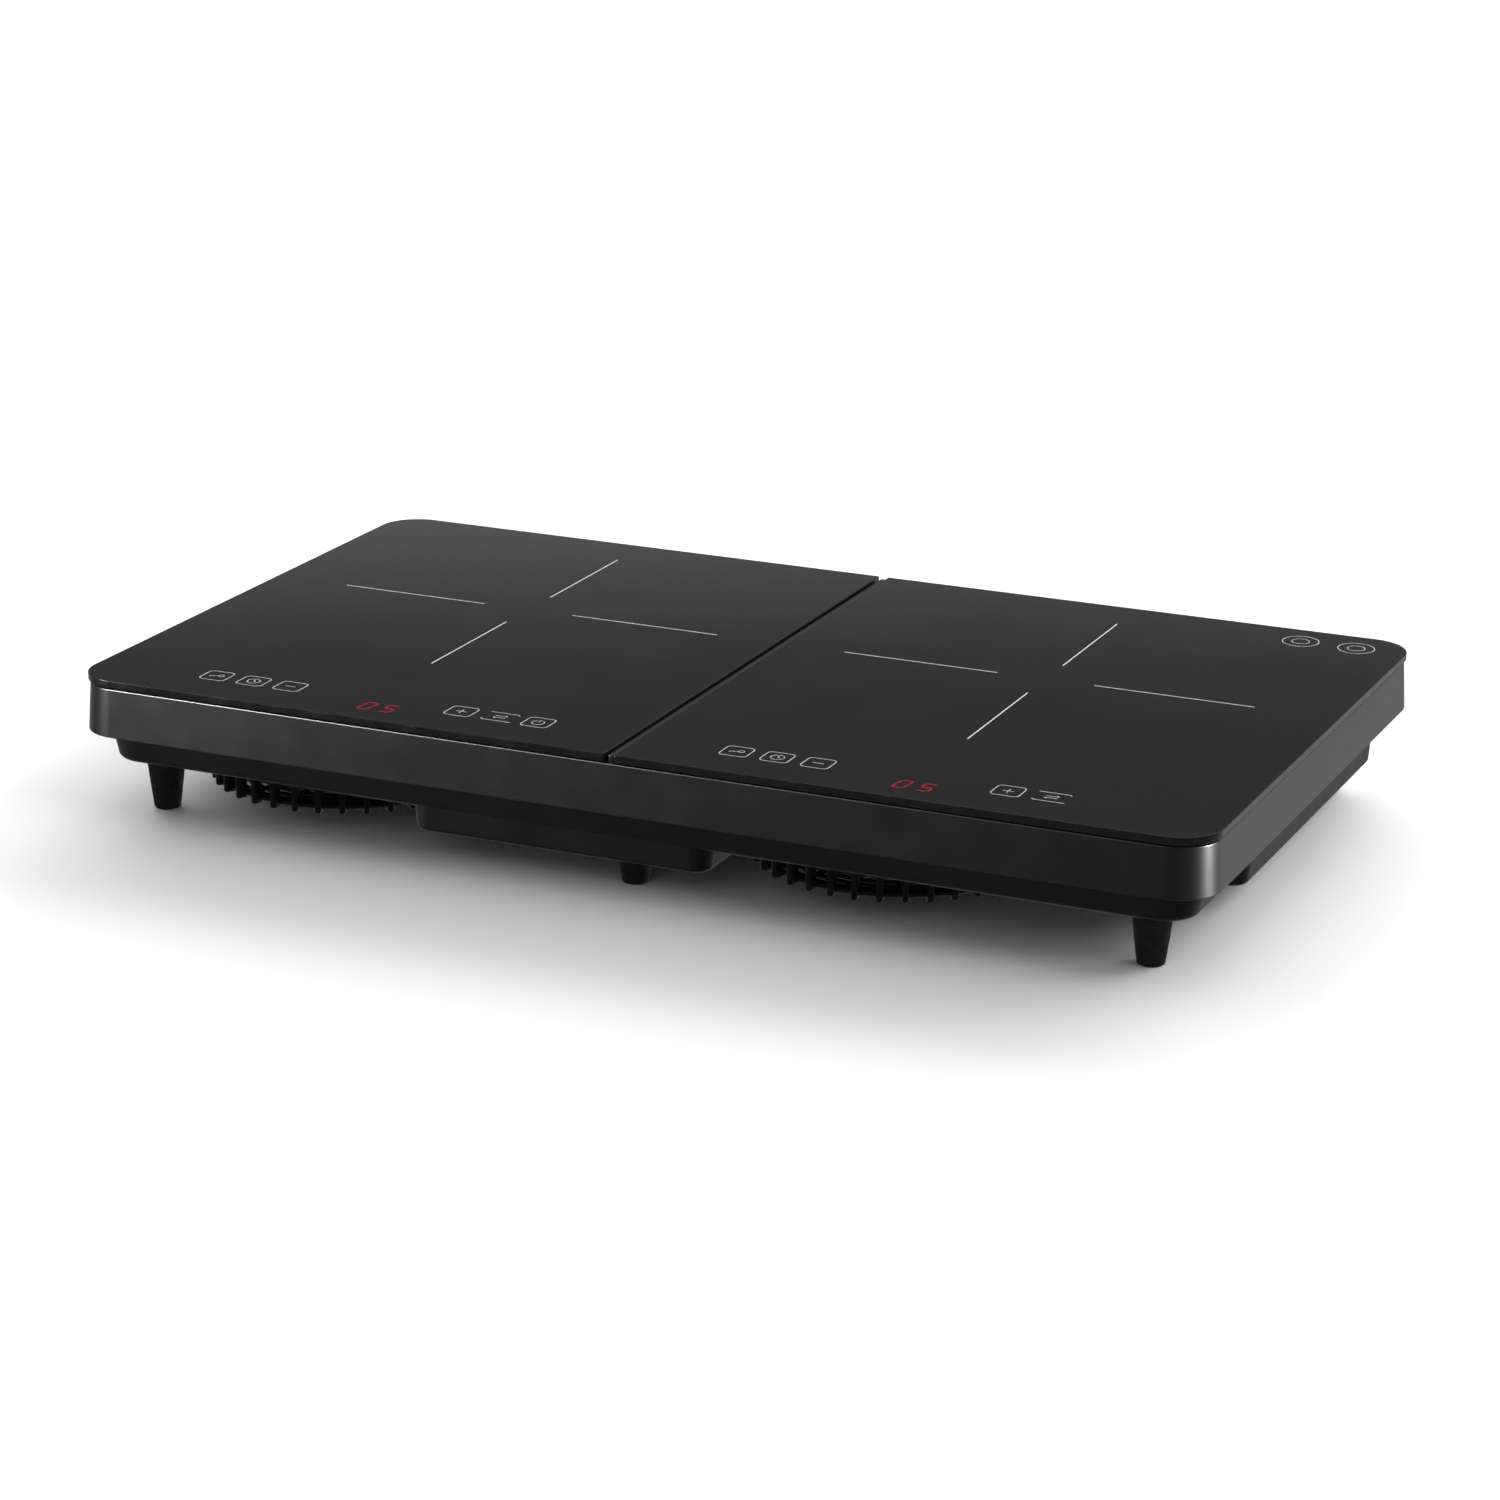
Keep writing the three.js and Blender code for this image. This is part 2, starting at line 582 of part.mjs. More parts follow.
// One blade: a thin section pitched about its radius, wider and flatter towards the tip.
function fanBlade(middle) {
  const stations = Array.from({ length: BLADE.stations }, (_, i) => {
    const along = i / (BLADE.stations - 1);
    const radius = ROTOR.hub - 2 + (ROTOR.tip - ROTOR.hub + 2) * along;
    const chord = THREE.MathUtils.lerp(BLADE.rootChord, BLADE.tipChord, along) / 2;
    const pitch = rad(THREE.MathUtils.lerp(BLADE.rootPitch, BLADE.tipPitch, along));
    const half = BLADE.thickness / 2;
    const corners = [[-chord, -half], [chord, -half], [chord, half], [-chord, half]];
    return corners.map(([u, v]) => {
      const side = u * Math.cos(pitch) - v * Math.sin(pitch);
      const height = u * Math.sin(pitch) + v * Math.cos(pitch);
      return new THREE.Vector3(Math.sqrt(Math.max(radius ** 2 - side ** 2, 1)), side, middle + height);
    });
  });
  return skin(stations);
}

function fanRotor(sign) {
  const { hub, bottom, top, blades } = ROTOR;
  const middle = (bottom + top) / 2;
  const pieces = [
    turned([
      [0, bottom],
      [hub - 1, bottom],
      [hub, bottom + 1],
      [hub, top - 2],
      [hub - 2, top],
      [0, top],
    ]),
    post(0, 0, SPINDLE.low, bottom + 1, SPINDLE.radius, SPINDLE.radius, 12),
  ];
  for (let i = 0; i < blades; i += 1) {
    pieces.push(fanBlade(middle).rotate([0, 0, (i * 360) / blades]));
  }
  return joined(pieces).translate([...fanCentre(sign), 0]);
}

for (const { name, sign } of SIDES) {
  add(`fan_frame_${name}`, fanFrame(sign), FAN_PLASTIC);
  add(`fan_rotor_${name}`, fanRotor(sign), FAN_PLASTIC);
}

// ---------------------------------------------------------------- power electronics
const BOARD_TOP = BOARD.bottom + BOARD.thickness;
const PART_BOTTOM = BOARD_TOP + GAP;
const HEAT_SINK = { left: -60, right: 30, front: 18, back: 62, fins: 10, base: 4.5, finWidth: 1.8, top: 50 };
const PACKAGE = { height: 4.6, depth: 20, width: 16, front: 30 };
const PACKAGE_X = { igbt: -35, rectifier: 5 }; // from the middle of the board
const RESONANT = { x: -60, y: 76, width: 42, depth: 20, height: 23 };
const SMOOTHING = { x: -4, y: 78, width: 32, depth: 17, height: 20 };
const CHOKE = { x: 62, y: 88, inner: 6.5, outer: 15, height: 14 };

function powerBoard(x) {
  const base = block(
    [x - BOARD.width / 2, BOARD.front, BOARD.bottom],
    [x + BOARD.width / 2, BOARD.back, BOARD_TOP],
  );
  const holes = [-STANDOFF.x, STANDOFF.x].flatMap((dx) =>
    [STANDOFF.front, STANDOFF.back].map((y) =>
      post(x + dx, y, BOARD.bottom - 1, BOARD_TOP + 1, STANDOFF.hole, STANDOFF.hole, HOLE),
    ),
  );
  return base.subtract(joined(holes));
}

// Extruded aluminium comb: a base plate with upright fins.
function heatSink(x) {
  const { left, right, front, back, fins, base, finWidth, top } = HEAT_SINK;
  const low = PART_BOTTOM + PACKAGE.height + GAP;
  const pitch = (back - front - finWidth) / (fins - 1);
  const points = [[front, low], [back, low]];
  for (let i = fins - 1; i >= 0; i -= 1) {
    const y = front + i * pitch;
    points.push([y + finWidth, top], [y, top]);
    if (i > 0) {
      points.push([y, low + base], [y - pitch + finWidth, low + base]);
    }
  }
  const shape = new THREE.Shape(points.map(([y, z]) => new THREE.Vector2(y, z)));
  const geometry = new THREE.ExtrudeGeometry(shape, { depth: right - left, bevelEnabled: false });
  geometry.rotateX(Math.PI / 2);
  geometry.rotateZ(Math.PI / 2);
  geometry.translate(x + left, 0, 0);
  return toSolid(geometry);
}

function flatPackage(x) {
  const { width, depth, height, front } = PACKAGE;
  return block([x - width / 2, front, PART_BOTTOM], [x + width / 2, front + depth, PART_BOTTOM + height]);
}

function filmCapacitor(middle, { x, y, width, depth, height }) {
  const left = middle + x;
  return tub({ left, right: left + width, front: y, back: y + depth }, 2, [
    [PART_BOTTOM, 0],
    [PART_BOTTOM + height - 1, 0],
    [PART_BOTTOM + height, -1],
  ], 3);
}

for (const { name, sign } of SIDES) {
  const x = sign * MODULE_X;
  add(`power_board_${name}`, powerBoard(x), BOARD_GREEN);
  add(`heat_sink_${name}`, heatSink(x), ALUMINIUM);
  add(`igbt_${name}`, flatPackage(x + PACKAGE_X.igbt), PACKAGE_BLACK);
  add(`bridge_rectifier_${name}`, flatPackage(x + PACKAGE_X.rectifier), PACKAGE_BLACK);
  add(`resonant_capacitor_${name}`, filmCapacitor(x, RESONANT), CAPACITOR_YELLOW);
  add(`smoothing_capacitor_${name}`, filmCapacitor(x, SMOOTHING), CAPACITOR_YELLOW);
  const { inner, outer, height } = CHOKE;
  const choke = ring(inner, outer, PART_BOTTOM, PART_BOTTOM + height, x + CHOKE.x, CHOKE.y, ROUND);
  add(`filter_choke_${name}`, choke, COPPER);
}

// ---------------------------------------------------------------- touch boards and displays
const TOUCH = { left: -101, right: 106, front: -171, back: -128, bottom: 60.5, thickness: 1.6 };
const KEY_POSITIONS = [-233.4, -212.2, -191.1, -94.8, -73.3, -52.6]; // key centres on the left pane
const KEY_SPRING = { radius: 4.2, top: GLASS_BOTTOM - GAP };
const DISPLAY = { x: -134.6, y: -154, width: 30, depth: 16 };

function touchBoard(sign, keyShift) {
  const x = sign * MODULE_X;
  const boardTop = TOUCH.bottom + TOUCH.thickness;
  const board = block([x + TOUCH.left, TOUCH.front, TOUCH.bottom], [x + TOUCH.right, TOUCH.back, boardTop]);
  const keys = sign < 0 ? KEY_POSITIONS : KEY_POSITIONS.slice(0, -1);
  const springs = keys.map((key) =>
    post(key + keyShift, KEY_ROW_Y, boardTop - 0.5, KEY_SPRING.top, KEY_SPRING.radius, KEY_SPRING.radius, 12),
  );
  return joined([board, ...springs]);
}

for (const { name, sign, keyShift } of SIDES) {
  add(`touch_board_${name}`, touchBoard(sign, keyShift), BOARD_GREEN);
  const low = TOUCH.bottom + TOUCH.thickness + GAP;
  const x = DISPLAY.x + keyShift;
  add(`display_module_${name}`, block(
    [x - DISPLAY.width / 2, DISPLAY.y - DISPLAY.depth / 2, low],
    [x + DISPLAY.width / 2, DISPLAY.y + DISPLAY.depth / 2, GLASS_BOTTOM - GAP],
  ), DISPLAY_RED);
}

// ---------------------------------------------------------------- mains inlet
const TERMINAL = { width: 36, depth: 18, height: 16, y: 96, poles: 3, well: 3.2 };

function cableGland() {
  const wallY = GLASS_DEPTH / 2 - BASE.topInset;
  const profile = [
    [GLAND.bore, wallY - 9],
    [GLAND.outer - 1, wallY - 9],
    [GLAND.outer, wallY - 7],
    [GLAND.outer, wallY + 1.2],
    [GLAND.flange, wallY + 1.2],
    [GLAND.flange - 1, wallY + 4],
    [GLAND.bore + 2.4, GLAND.back],
    [GLAND.bore, GLAND.back],
    [GLAND.bore, wallY - 9],
  ];
  const points = profile.map(([radius, y]) => new THREE.Vector2(radius, y));
  const geometry = new THREE.LatheGeometry(points, ROUND);
  geometry.translate(GLAND.x, 0, GLAND.z);
  return toSolid(geometry);
}

function terminalBlock() {
  const { width, depth, height, y, poles, well } = TERMINAL;
  const low = BELLY.bottom + BASE.wall + GAP;
  const body = block([-width / 2, y, low], [width / 2, y + depth, low + height]);
  const wells = Array.from({ length: poles }, (_, i) => {
    const x = ((i - (poles - 1) / 2) * width) / poles;
    return post(x, y + depth / 2, low + 6, low + height + 1, well, well, 12);
  });
  return body.subtract(joined(wells));
}

add('cable_gland', cableGland(), SILICONE);
add('terminal_block', terminalBlock(), CERAMIC);

export default cooktop;
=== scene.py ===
# Portable double induction cooktop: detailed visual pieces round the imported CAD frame.
# Shapes are written in millimetres and become metres when a mesh is made.
from math import copysign, cos, pi, radians, sin, sqrt

import bmesh
import bpy
import numpy as np
from mathutils import Matrix, Vector


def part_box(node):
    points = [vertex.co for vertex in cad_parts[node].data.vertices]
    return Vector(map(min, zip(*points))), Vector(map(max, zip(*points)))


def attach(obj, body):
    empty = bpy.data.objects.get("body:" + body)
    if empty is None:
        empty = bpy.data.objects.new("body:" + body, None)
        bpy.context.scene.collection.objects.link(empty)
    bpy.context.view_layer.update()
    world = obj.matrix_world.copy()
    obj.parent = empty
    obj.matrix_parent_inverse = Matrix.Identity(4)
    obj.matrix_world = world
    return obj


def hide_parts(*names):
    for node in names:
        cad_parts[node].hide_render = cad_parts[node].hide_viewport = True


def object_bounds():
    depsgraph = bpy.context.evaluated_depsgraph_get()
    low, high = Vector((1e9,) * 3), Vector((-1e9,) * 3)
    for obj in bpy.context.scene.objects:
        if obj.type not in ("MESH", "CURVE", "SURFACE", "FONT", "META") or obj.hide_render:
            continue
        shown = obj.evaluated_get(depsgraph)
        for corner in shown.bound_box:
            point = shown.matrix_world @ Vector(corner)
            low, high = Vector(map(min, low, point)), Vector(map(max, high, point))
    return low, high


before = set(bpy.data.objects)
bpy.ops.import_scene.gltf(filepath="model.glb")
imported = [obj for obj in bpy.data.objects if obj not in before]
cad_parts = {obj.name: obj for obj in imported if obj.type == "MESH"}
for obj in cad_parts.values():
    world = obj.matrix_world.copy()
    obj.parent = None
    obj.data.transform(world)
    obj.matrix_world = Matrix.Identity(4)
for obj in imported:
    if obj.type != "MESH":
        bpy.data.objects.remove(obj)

MM = 0.001
CAD_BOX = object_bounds()


class Box:
    """The resting box of a CAD node, in millimetres."""

    def __init__(self, node):
        low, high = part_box(node)
        self.left, self.front, self.low = (value / MM for value in low)
        self.right, self.back, self.high = (value / MM for value in high)
        self.rect = (self.left, self.right, self.front, self.back)
        self.x = (self.left + self.right) / 2
        self.y = (self.front + self.back) / 2
        self.z = (self.low + self.high) / 2
        self.width = self.right - self.left


def pair(node):
    """Boxes of a node's left and right copies."""
    return {side: Box(f"{node}_{side}") for side in SIDES}


SIDES = ("left", "right")
FEET = ("front_left", "front_center", "front_right", "rear_left", "rear_center", "rear_right")
PANE = pair("glass")
ZONE = pair("coil")
CARRIER = pair("coil_carrier")
FAN = pair("fan_frame")
POWER = pair("power_board")
TOUCH = pair("touch_board")
FOOT = {foot: Box(f"foot_{foot}") for foot in FEET}
UPPER = Box("upper_housing")
LOWER = Box("lower_housing")
GLAND = Box("cable_gland")
BLOCK = Box("terminal_block")

EDGE_RIGHT = PANE["right"].right
EDGE_FRONT = PANE["left"].front
EDGE_BACK = PANE["left"].back
WHOLE = (PANE["left"].left, EDGE_RIGHT, EDGE_FRONT, EDGE_BACK)
GLASS_TOP = PANE["left"].high
GLASS_BOTTOM = PANE["left"].low
CORNER_RADIUS = 22
INNER_RADIUS = 1.2  # pane corners beside the divider
CORNER_STEPS = 16
CLEARANCE = 0.3
AXIS = 0.01  # radius that stands for a point on the axis of a turned shape


# ---------------- shapes
# A shape is (points, faces): an array of points in millimetres and tuples of point numbers.
def skin(rings, closed=False):
    """Quads through rings of points; open ends are capped, closed joins the last ring to the first."""
    count = len(rings[0])
    points = np.array([point for ring in rings for point in ring], float)
    faces = []
    for level in range(len(rings) if closed else len(rings) - 1):
        low = level * count
        high = (level + 1) % len(rings) * count
        for i in range(count):
            j = (i + 1) % count
            faces.append((low + i, low + j, high + j, high + i))
    if not closed:
        faces.append(tuple(reversed(range(count))))
        faces.append(tuple(range(len(points) - count, len(points))))
    return points, faces


def circle(count):
    return [2 * pi * i / count for i in range(count)]


def polar(radius, degrees):
    return radius * cos(radians(degrees)), radius * sin(radians(degrees))


def arc(x, y, radius, start, end, steps=20):
    angles = [radians(start + (end - start) * step / steps) for step in range(steps + 1)]
    return [(x + radius * cos(a), y + radius * sin(a)) for a in angles]


def row(middle, count, pitch):
    """Evenly spaced places about a middle."""
    return [middle + (i - (count - 1) / 2) * pitch for i in range(count)]


def outline(rect, radii, steps=CORNER_STEPS):
    """Rounded rectangle (left, right, front, back), anticlockwise from the front right corner."""
    left, right, front, back = rect
    a, b, c, d = radii
    return [*arc(right - a, front + a, a, -90, 0, steps), *arc(right - b, back - b, b, 0, 90, steps),
            *arc(left + c, back - c, c, 90, 180, steps), *arc(left + d, front + d, d, 180, 270, steps)]


def grown(rect, by):
    left, right, front, back = rect
    return left - by, right + by, front - by, back + by


def tub(rect, radius, levels, steps=CORNER_STEPS, closed=False):
    """Rounded rectangle that changes size with height; levels are (height, growth)."""
    radii = radius if isinstance(radius, tuple) else (radius,) * 4
    rings = []
    for height, growth in levels:
        corner = [max(value + growth, 0.15) for value in radii]
        rings.append([(x, y, height) for x, y in outline(grown(rect, growth), corner, steps)])
    return skin(rings, closed)


def quarter(growth, height, radius, start, end, steps=5):
    """Levels on a round edge: an arc about (growth, height), angles in degrees above the outward side."""
    return [(level, out) for out, level in arc(growth, height, radius, start, end, steps)]


def rounded(low, high, edge, steps, growth=0):
    """Levels of an upright wall with round edges at its foot and top."""
    return (quarter(growth - edge, low + edge, edge, -90, 0, steps)
            + quarter(growth - edge, high - edge, edge, 0, 90, steps))


def turned(profile, x=0, y=0, segments=48, closed=False, low=0):
    """Solid of revolution about an upright axis; profile points are (radius, height above low)."""
    rings = []
    for radius, height in profile:
        radius = max(radius, AXIS)
        rings.append([(x + radius * cos(a), y + radius * sin(a), low + height) for a in circle(segments)])
    return skin(rings, closed)


def rod(radius, low, high, x=0, y=0, segments=24, tip=None):
    """Upright cylinder, or a cone with another radius at its tip."""
    return turned([(radius, low), (tip or radius, high)], x, y, segments)


def hoop(inner, outer, low, high, edge=0.6, segments=152):
    """Flat ring about the origin with bevelled edges."""
    profile = [(inner + edge, low), (outer - edge, low), (outer, low + edge), (outer, high - edge),
               (outer - edge, high), (inner + edge, high), (inner, high - edge), (inner, low + edge)]
    return turned(profile, segments=segments, closed=True)


def tube(path, radius, sides=10):
    """Round wire along a path of points, with its section turned as little as possible."""
    path = np.array(path, float)
    along = np.gradient(path, axis=0)
    along /= np.linalg.norm(along, axis=1)[:, None]
    side = np.cross(along[0], (0, 0, 1.0) if abs(along[0][2]) < 0.9 else (1.0, 0, 0))
    rings = []
    for place, direction in zip(path, along):
        side = side - direction * side.dot(direction)
        side /= np.linalg.norm(side)
        other = np.cross(direction, side)
        rings.append([place + radius * (cos(a) * side + sin(a) * other) for a in circle(sides)])
    return skin(rings)


def curve_through(points, steps=8):
    """Smooth path through given points."""
    points = [np.array(point, float) for point in points]
    ends = [2 * points[0] - points[1], *points, 2 * points[-1] - points[-2]]
    path = []
    for a, b, c, d in zip(ends, ends[1:], ends[2:], ends[3:]):
        for t in np.linspace(0, 1, steps, endpoint=False):
            path.append(0.5 * (2 * b + (c - a) * t + (2 * a - 5 * b + 4 * c - d) * t**2
                               + (3 * b - a - 3 * c + d) * t**3))
    return [*path, points[-1]]


def ribbon(path, width, low, high, closed=False):
    """Flat printed line along a plan path of (x, y) points."""
    path = np.array(path, float)
    count = len(path)
    rings = []
    for i in range(count):
        before = path[i] - path[i - 1] if closed or i else path[1] - path[0]
        after = path[(i + 1) % count] - path[i] if closed or i + 1 < count else before
        before = before / np.linalg.norm(before)
        after = after / np.linalg.norm(after)
        normal = np.array((-before[1] - after[1], before[0] + after[0]))
        normal /= np.linalg.norm(normal)
        reach = width / 2 / max(normal.dot((-before[1], before[0])), 0.4)
        (x0, y0), (x1, y1) = path[i] - normal * reach, path[i] + normal * reach
        rings.append([(x0, y0, low), (x1, y1, low), (x1, y1, high), (x0, y0, high)])
    return skin(rings, closed)


def slab(plan, low, high):
    """Flat plate with a plan of (x, y) points."""
    return skin([[(x, y, z) for x, y in plan] for z in (low, high)])


def along_y(section, front, back):
    """Bar with a section of (x, z) points, between two depths."""
    return skin([[(x, y, z) for x, z in section] for y in (front, back)])


def brick(left, right, front, back, low, high, edge=0.4, corner=0.8):
    """Block with softened edges and corners."""
    return tub((left, right, front, back), max(corner, edge + 0.2), rounded(low, high, edge, 2), 3)


def moved(shape, x=0, y=0, turn=0):
    """A shape turned about the upright axis, in degrees, then moved."""
    c, s = polar(1, turn)
    return shape[0] @ np.array(((c, s, 0), (-s, c, 0), (0, 0, 1))) + (x, y, 0), shape[1]


def around(shape, count, first=0):
    """Copies of a shape, spaced evenly round the upright axis."""
    return [moved(shape, turn=first + 360 * i / count) for i in range(count)]


# ---------------- objects
def placed(name, data):
    """Object in the scene for a mesh, a light or a camera."""
    thing = bpy.data.objects.new(name, data)
    bpy.context.collection.objects.link(thing)
    return thing


def store(work, mesh):
    """Writes a bmesh to a mesh and frees it."""
    work.to_mesh(mesh)
    work.free()
    return mesh


def make(name, *shapes):
    """One mesh object from several shapes, with its faces turned outwards."""
    work = bmesh.new()
    for points, loops in shapes:
        corners = [work.verts.new(point) for point in points * MM]
        for loop in loops:
            work.faces.new([corners[i] for i in loop])
    bmesh.ops.recalc_face_normals(work, faces=work.faces)
    return placed(name, store(work, bpy.data.meshes.new(name)))


def settle(thing):
    """Turns an object's modifiers into plain mesh."""
    mesh = bpy.data.meshes.new_from_object(thing.evaluated_get(bpy.context.evaluated_depsgraph_get()))
    thing.modifiers.clear()
    thing.data = mesh


def combine(thing, operation, tools):
    """Combines an object with each tool in turn: an object, or a list of shapes that don't meet."""
    helpers = [make("tool", *tool) if isinstance(tool, list) else tool for tool in tools]
    for helper in helpers:
        step = thing.modifiers.new("step", "BOOLEAN")
        step.operation = operation
        step.solver = "MANIFOLD"
        step.object = helper
    settle(thing)
    for helper in helpers:
        bpy.data.objects.remove(helper)


def add(thing, *tools):
    combine(thing, "UNION", tools)


def cut(thing, *tools):
    combine(thing, "DIFFERENCE", tools)


def carry(thing, place):
    """Moves a mesh made at the origin to the upright axis of a box."""
    thing.data.transform(Matrix.Translation((place.x * MM, place.y * MM, 0)))


def smooth(thing, angle=34, bevel=0):
    """Soft edges and smooth shading, with edges sharper than the angle kept crisp."""
    limit = radians(angle)
    if bevel:
        rounding = thing.modifiers.new("edges", "BEVEL")
        rounding.width = bevel * MM
        rounding.segments = 2
        rounding.limit_method = "ANGLE"
        rounding.angle_limit = limit
        settle(thing)
    work = bmesh.new()
    work.from_mesh(thing.data)
    for face in work.faces:
        face.smooth = True
    for edge in work.edges:
        edge.smooth = len(edge.link_faces) != 2 or edge.calc_face_angle(0) < limit
    store(work, thing.data)
    thing.modifiers.new("shading", "WEIGHTED_NORMAL").keep_sharp = True


def finish(thing, look, slot, *nodes, body="housing", **edges):
    """Shades a piece, gives it its material, hangs it on its body and hides the CAD nodes that it stands for.
    """
    smooth(thing, **edges)
    thing.data.materials.clear()
    thing.data.materials.append(look.material)
    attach(thing, body)
    if nodes:
        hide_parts(*nodes)


def refined(node, name, look, slot, bevel):
    """A copy of a CAD node with clean faces and soft edges."""
    work = bmesh.new()
    work.from_mesh(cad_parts[node].data)
    bmesh.ops.remove_doubles(work, verts=work.verts, dist=0.01 * MM)
    bmesh.ops.dissolve_limit(work, angle_limit=radians(1), verts=work.verts, edges=work.edges)
    finish(placed(name, store(work, bpy.data.meshes.new(name))), look, slot, node, bevel=bevel)


def wires(name, look, *routes, radius=1.2, steps=10, sides=12):
    """Insulated wires along routes of given points."""
    leads = [tube(curve_through(route, steps), radius, sides) for route in routes]
    finish(make(name, *leads), look, "terminal", angle=60)


# ---------------- materials
def feed(node, **values):
    """Sets a node's inputs; an underscore in a name stands for a space."""
    for name, value in values.items():
        node.inputs[name.replace("_", " ")].default_value = value


def ramp(tree, pattern, stops):
    """Colours that follow a pattern; stops are (position, colour)."""
    node = tree.nodes.new("ShaderNodeValToRGB")
    for extra in stops[2:]:
        node.color_ramp.elements.new(0.5)
    for element, (position, color) in zip(node.color_ramp.elements, stops):
        element.position = position
        element.color = (*color, 1)
    tree.links.new(pattern, node.inputs["Fac"])
    return node.outputs["Color"]


class Look:
    """A procedural material on one Principled shader; sizes of patterns are in millimetres."""

    def __init__(self, name, color, roughness, **sockets):
        self.material = bpy.data.materials.new(name)
        self.material.use_nodes = True
        self.tree = self.material.node_tree
        self.link = self.tree.links.new
        self.shader = self.tree.nodes["Principled BSDF"]
        feed(self.shader, Base_Color=(*color, 1), Roughness=roughness, **sockets)
        self.place = self.tree.nodes.new("ShaderNodeTexCoord").outputs["Object"]

    def pattern(self, kind, size, stretch=(1, 1, 1), **values):
        """Texture node whose features have a size, stretched along each axis."""
        mapping = self.tree.nodes.new("ShaderNodeMapping")
        feed(mapping, Scale=[1 / (size * MM * axis) for axis in stretch])
        self.link(self.place, mapping.inputs["Vector"])
        texture = self.tree.nodes.new(f"ShaderNodeTex{kind}")
        feed(texture, Scale=1, **values)
        self.link(mapping.outputs["Vector"], texture.inputs["Vector"])
        return texture

    def noise(self, size, detail, stretch=(1, 1, 1)):
        return self.pattern("Noise", size, stretch, Detail=detail).outputs["Fac"]

    def cells(self, size):
        return self.pattern("Voronoi", size).outputs["Distance"]

    def tint(self, pattern, first, second, start=0.35, end=0.65, socket="Base Color"):
        """Colour that runs between two colours with a pattern."""
        color = ramp(self.tree, pattern, ((start, first), (end, second)))
        self.link(color, self.shader.inputs[socket])
        return self

    def gloss(self, pattern, low, high):
        """Roughness between two values."""
        spread = self.tree.nodes.new("ShaderNodeMapRange")
        feed(spread, From_Min=0.35, From_Max=0.65, To_Min=low, To_Max=high)
        self.link(pattern, spread.inputs["Value"])
        self.link(spread.outputs["Result"], self.shader.inputs["Roughness"])
        return self

    def relief(self, pattern, depth, strength=1.0):
        """Bump of a depth in millimetres; a second call adds to the first."""
        bump = self.tree.nodes.new("ShaderNodeBump")
        feed(bump, Distance=depth * MM, Strength=strength)
        normal = self.shader.inputs["Normal"]
        if normal.is_linked:
            self.link(normal.links[0].from_socket, bump.inputs["Normal"])
        self.link(pattern, bump.inputs["Height"])
        self.link(bump.outputs["Normal"], normal)
        return self


def plastic(name, dark, light, roughness, grain=0.35, depth=0.012, **sockets):
    """Moulded plastic: spark-eroded grain, slow changes of gloss and a faint change of tone."""
    look = Look(name, dark, roughness, **sockets)
    look.tint(look.noise(38, 5), dark, light)
    look.gloss(look.noise(22, 3), roughness * 0.96, roughness * 1.05)
    return look.relief(look.noise(grain, 3), depth)


def black_glass():
    look = Look("black_glass", (0.004, 0.004, 0.0045), 0.09, IOR=1.52)
    look.tint(look.cells(0.7), (0.012, 0.012, 0.013), (0.004, 0.004, 0.0045), 0.05, 0.4)
    look.gloss(look.noise(60, 4), 0.085, 0.1)
    return look.relief(look.noise(0.5, 2), 0.0006)


def ground_edge():
    """Fine-ground edge of the glass, duller than its face."""
    look = Look("ground_glass_edge", (0.005, 0.005, 0.0055), 0.24, Specular_IOR_Level=0.16)
    look.tint(look.noise(0.8, 4), (0.004, 0.004, 0.0045), (0.01, 0.01, 0.011))
    look.gloss(look.noise(9, 3), 0.21, 0.28)
    return look.relief(look.noise(0.15, 2), 0.002)


def printed_ink():
    look = Look("printed_ink", (0.62, 0.63, 0.64), 0.5)
    look.tint(look.noise(1.2, 4), (0.54, 0.55, 0.56), (0.7, 0.71, 0.72))
    return look.relief(look.noise(0.2, 2), 0.004)


def lit_red():
    look = Look("lit_red", (0.05, 0.001, 0.003), 0.1, Emission_Strength=1.0)
    return look.tint(look.noise(2.4, 2), (0.24, 0.0005, 0.014), (0.42, 0.001, 0.03), 0, 1, "Emission Color")


def rubber(name, dark, light):
    look = Look(name, dark, 0.7, Specular_IOR_Level=0.15)
    look.tint(look.noise(9, 5), dark, light)
    look.gloss(look.noise(4, 4), 0.6, 0.82)
    return look.relief(look.cells(0.4), 0.02)


def metal(name, dark, light, roughness, brushed=(1, 1, 1)):
    look = Look(name, light, roughness, Metallic=1)
    look.tint(look.noise(11, 5, brushed), dark, light)
    look.gloss(look.noise(3, 5, brushed), roughness * 0.75, roughness * 1.3)
    return look.relief(look.noise(0.8, 4, brushed), 0.006)


def litz_winding():
    """Lacquered stranded wire, with slanting strands."""
    look = Look("litz_winding", (0.42, 0.14, 0.05), 0.38, Metallic=0.75, Coat_Weight=0.4)
    look.tint(look.noise(1.6, 4, (1, 1, 0.5)), (0.3, 0.085, 0.03), (0.56, 0.21, 0.075))
    strands = look.pattern("Wave", 1.65, Distortion=1.5)
    strands.bands_direction = "DIAGONAL"
    look.relief(strands.outputs["Fac"], 0.09)
    return look.relief(look.noise(0.3, 2), 0.02)


def circuit_board():
    """Solder mask over a faint pattern of tracks."""
    look = Look("circuit_board", (0.012, 0.09, 0.045), 0.42, Coat_Weight=0.3)
    tracks = look.pattern("Brick", 9, Mortar_Size=0.06, Mortar=(0.006, 0.042, 0.022, 1),
                          Color1=(0.01, 0.075, 0.036, 1), Color2=(0.018, 0.12, 0.058, 1))
    look.link(tracks.outputs["Color"], look.shader.inputs["Base Color"])
    look.gloss(look.noise(6, 4), 0.34, 0.52)
    return look.relief(tracks.outputs["Fac"], 0.035, 0.6)


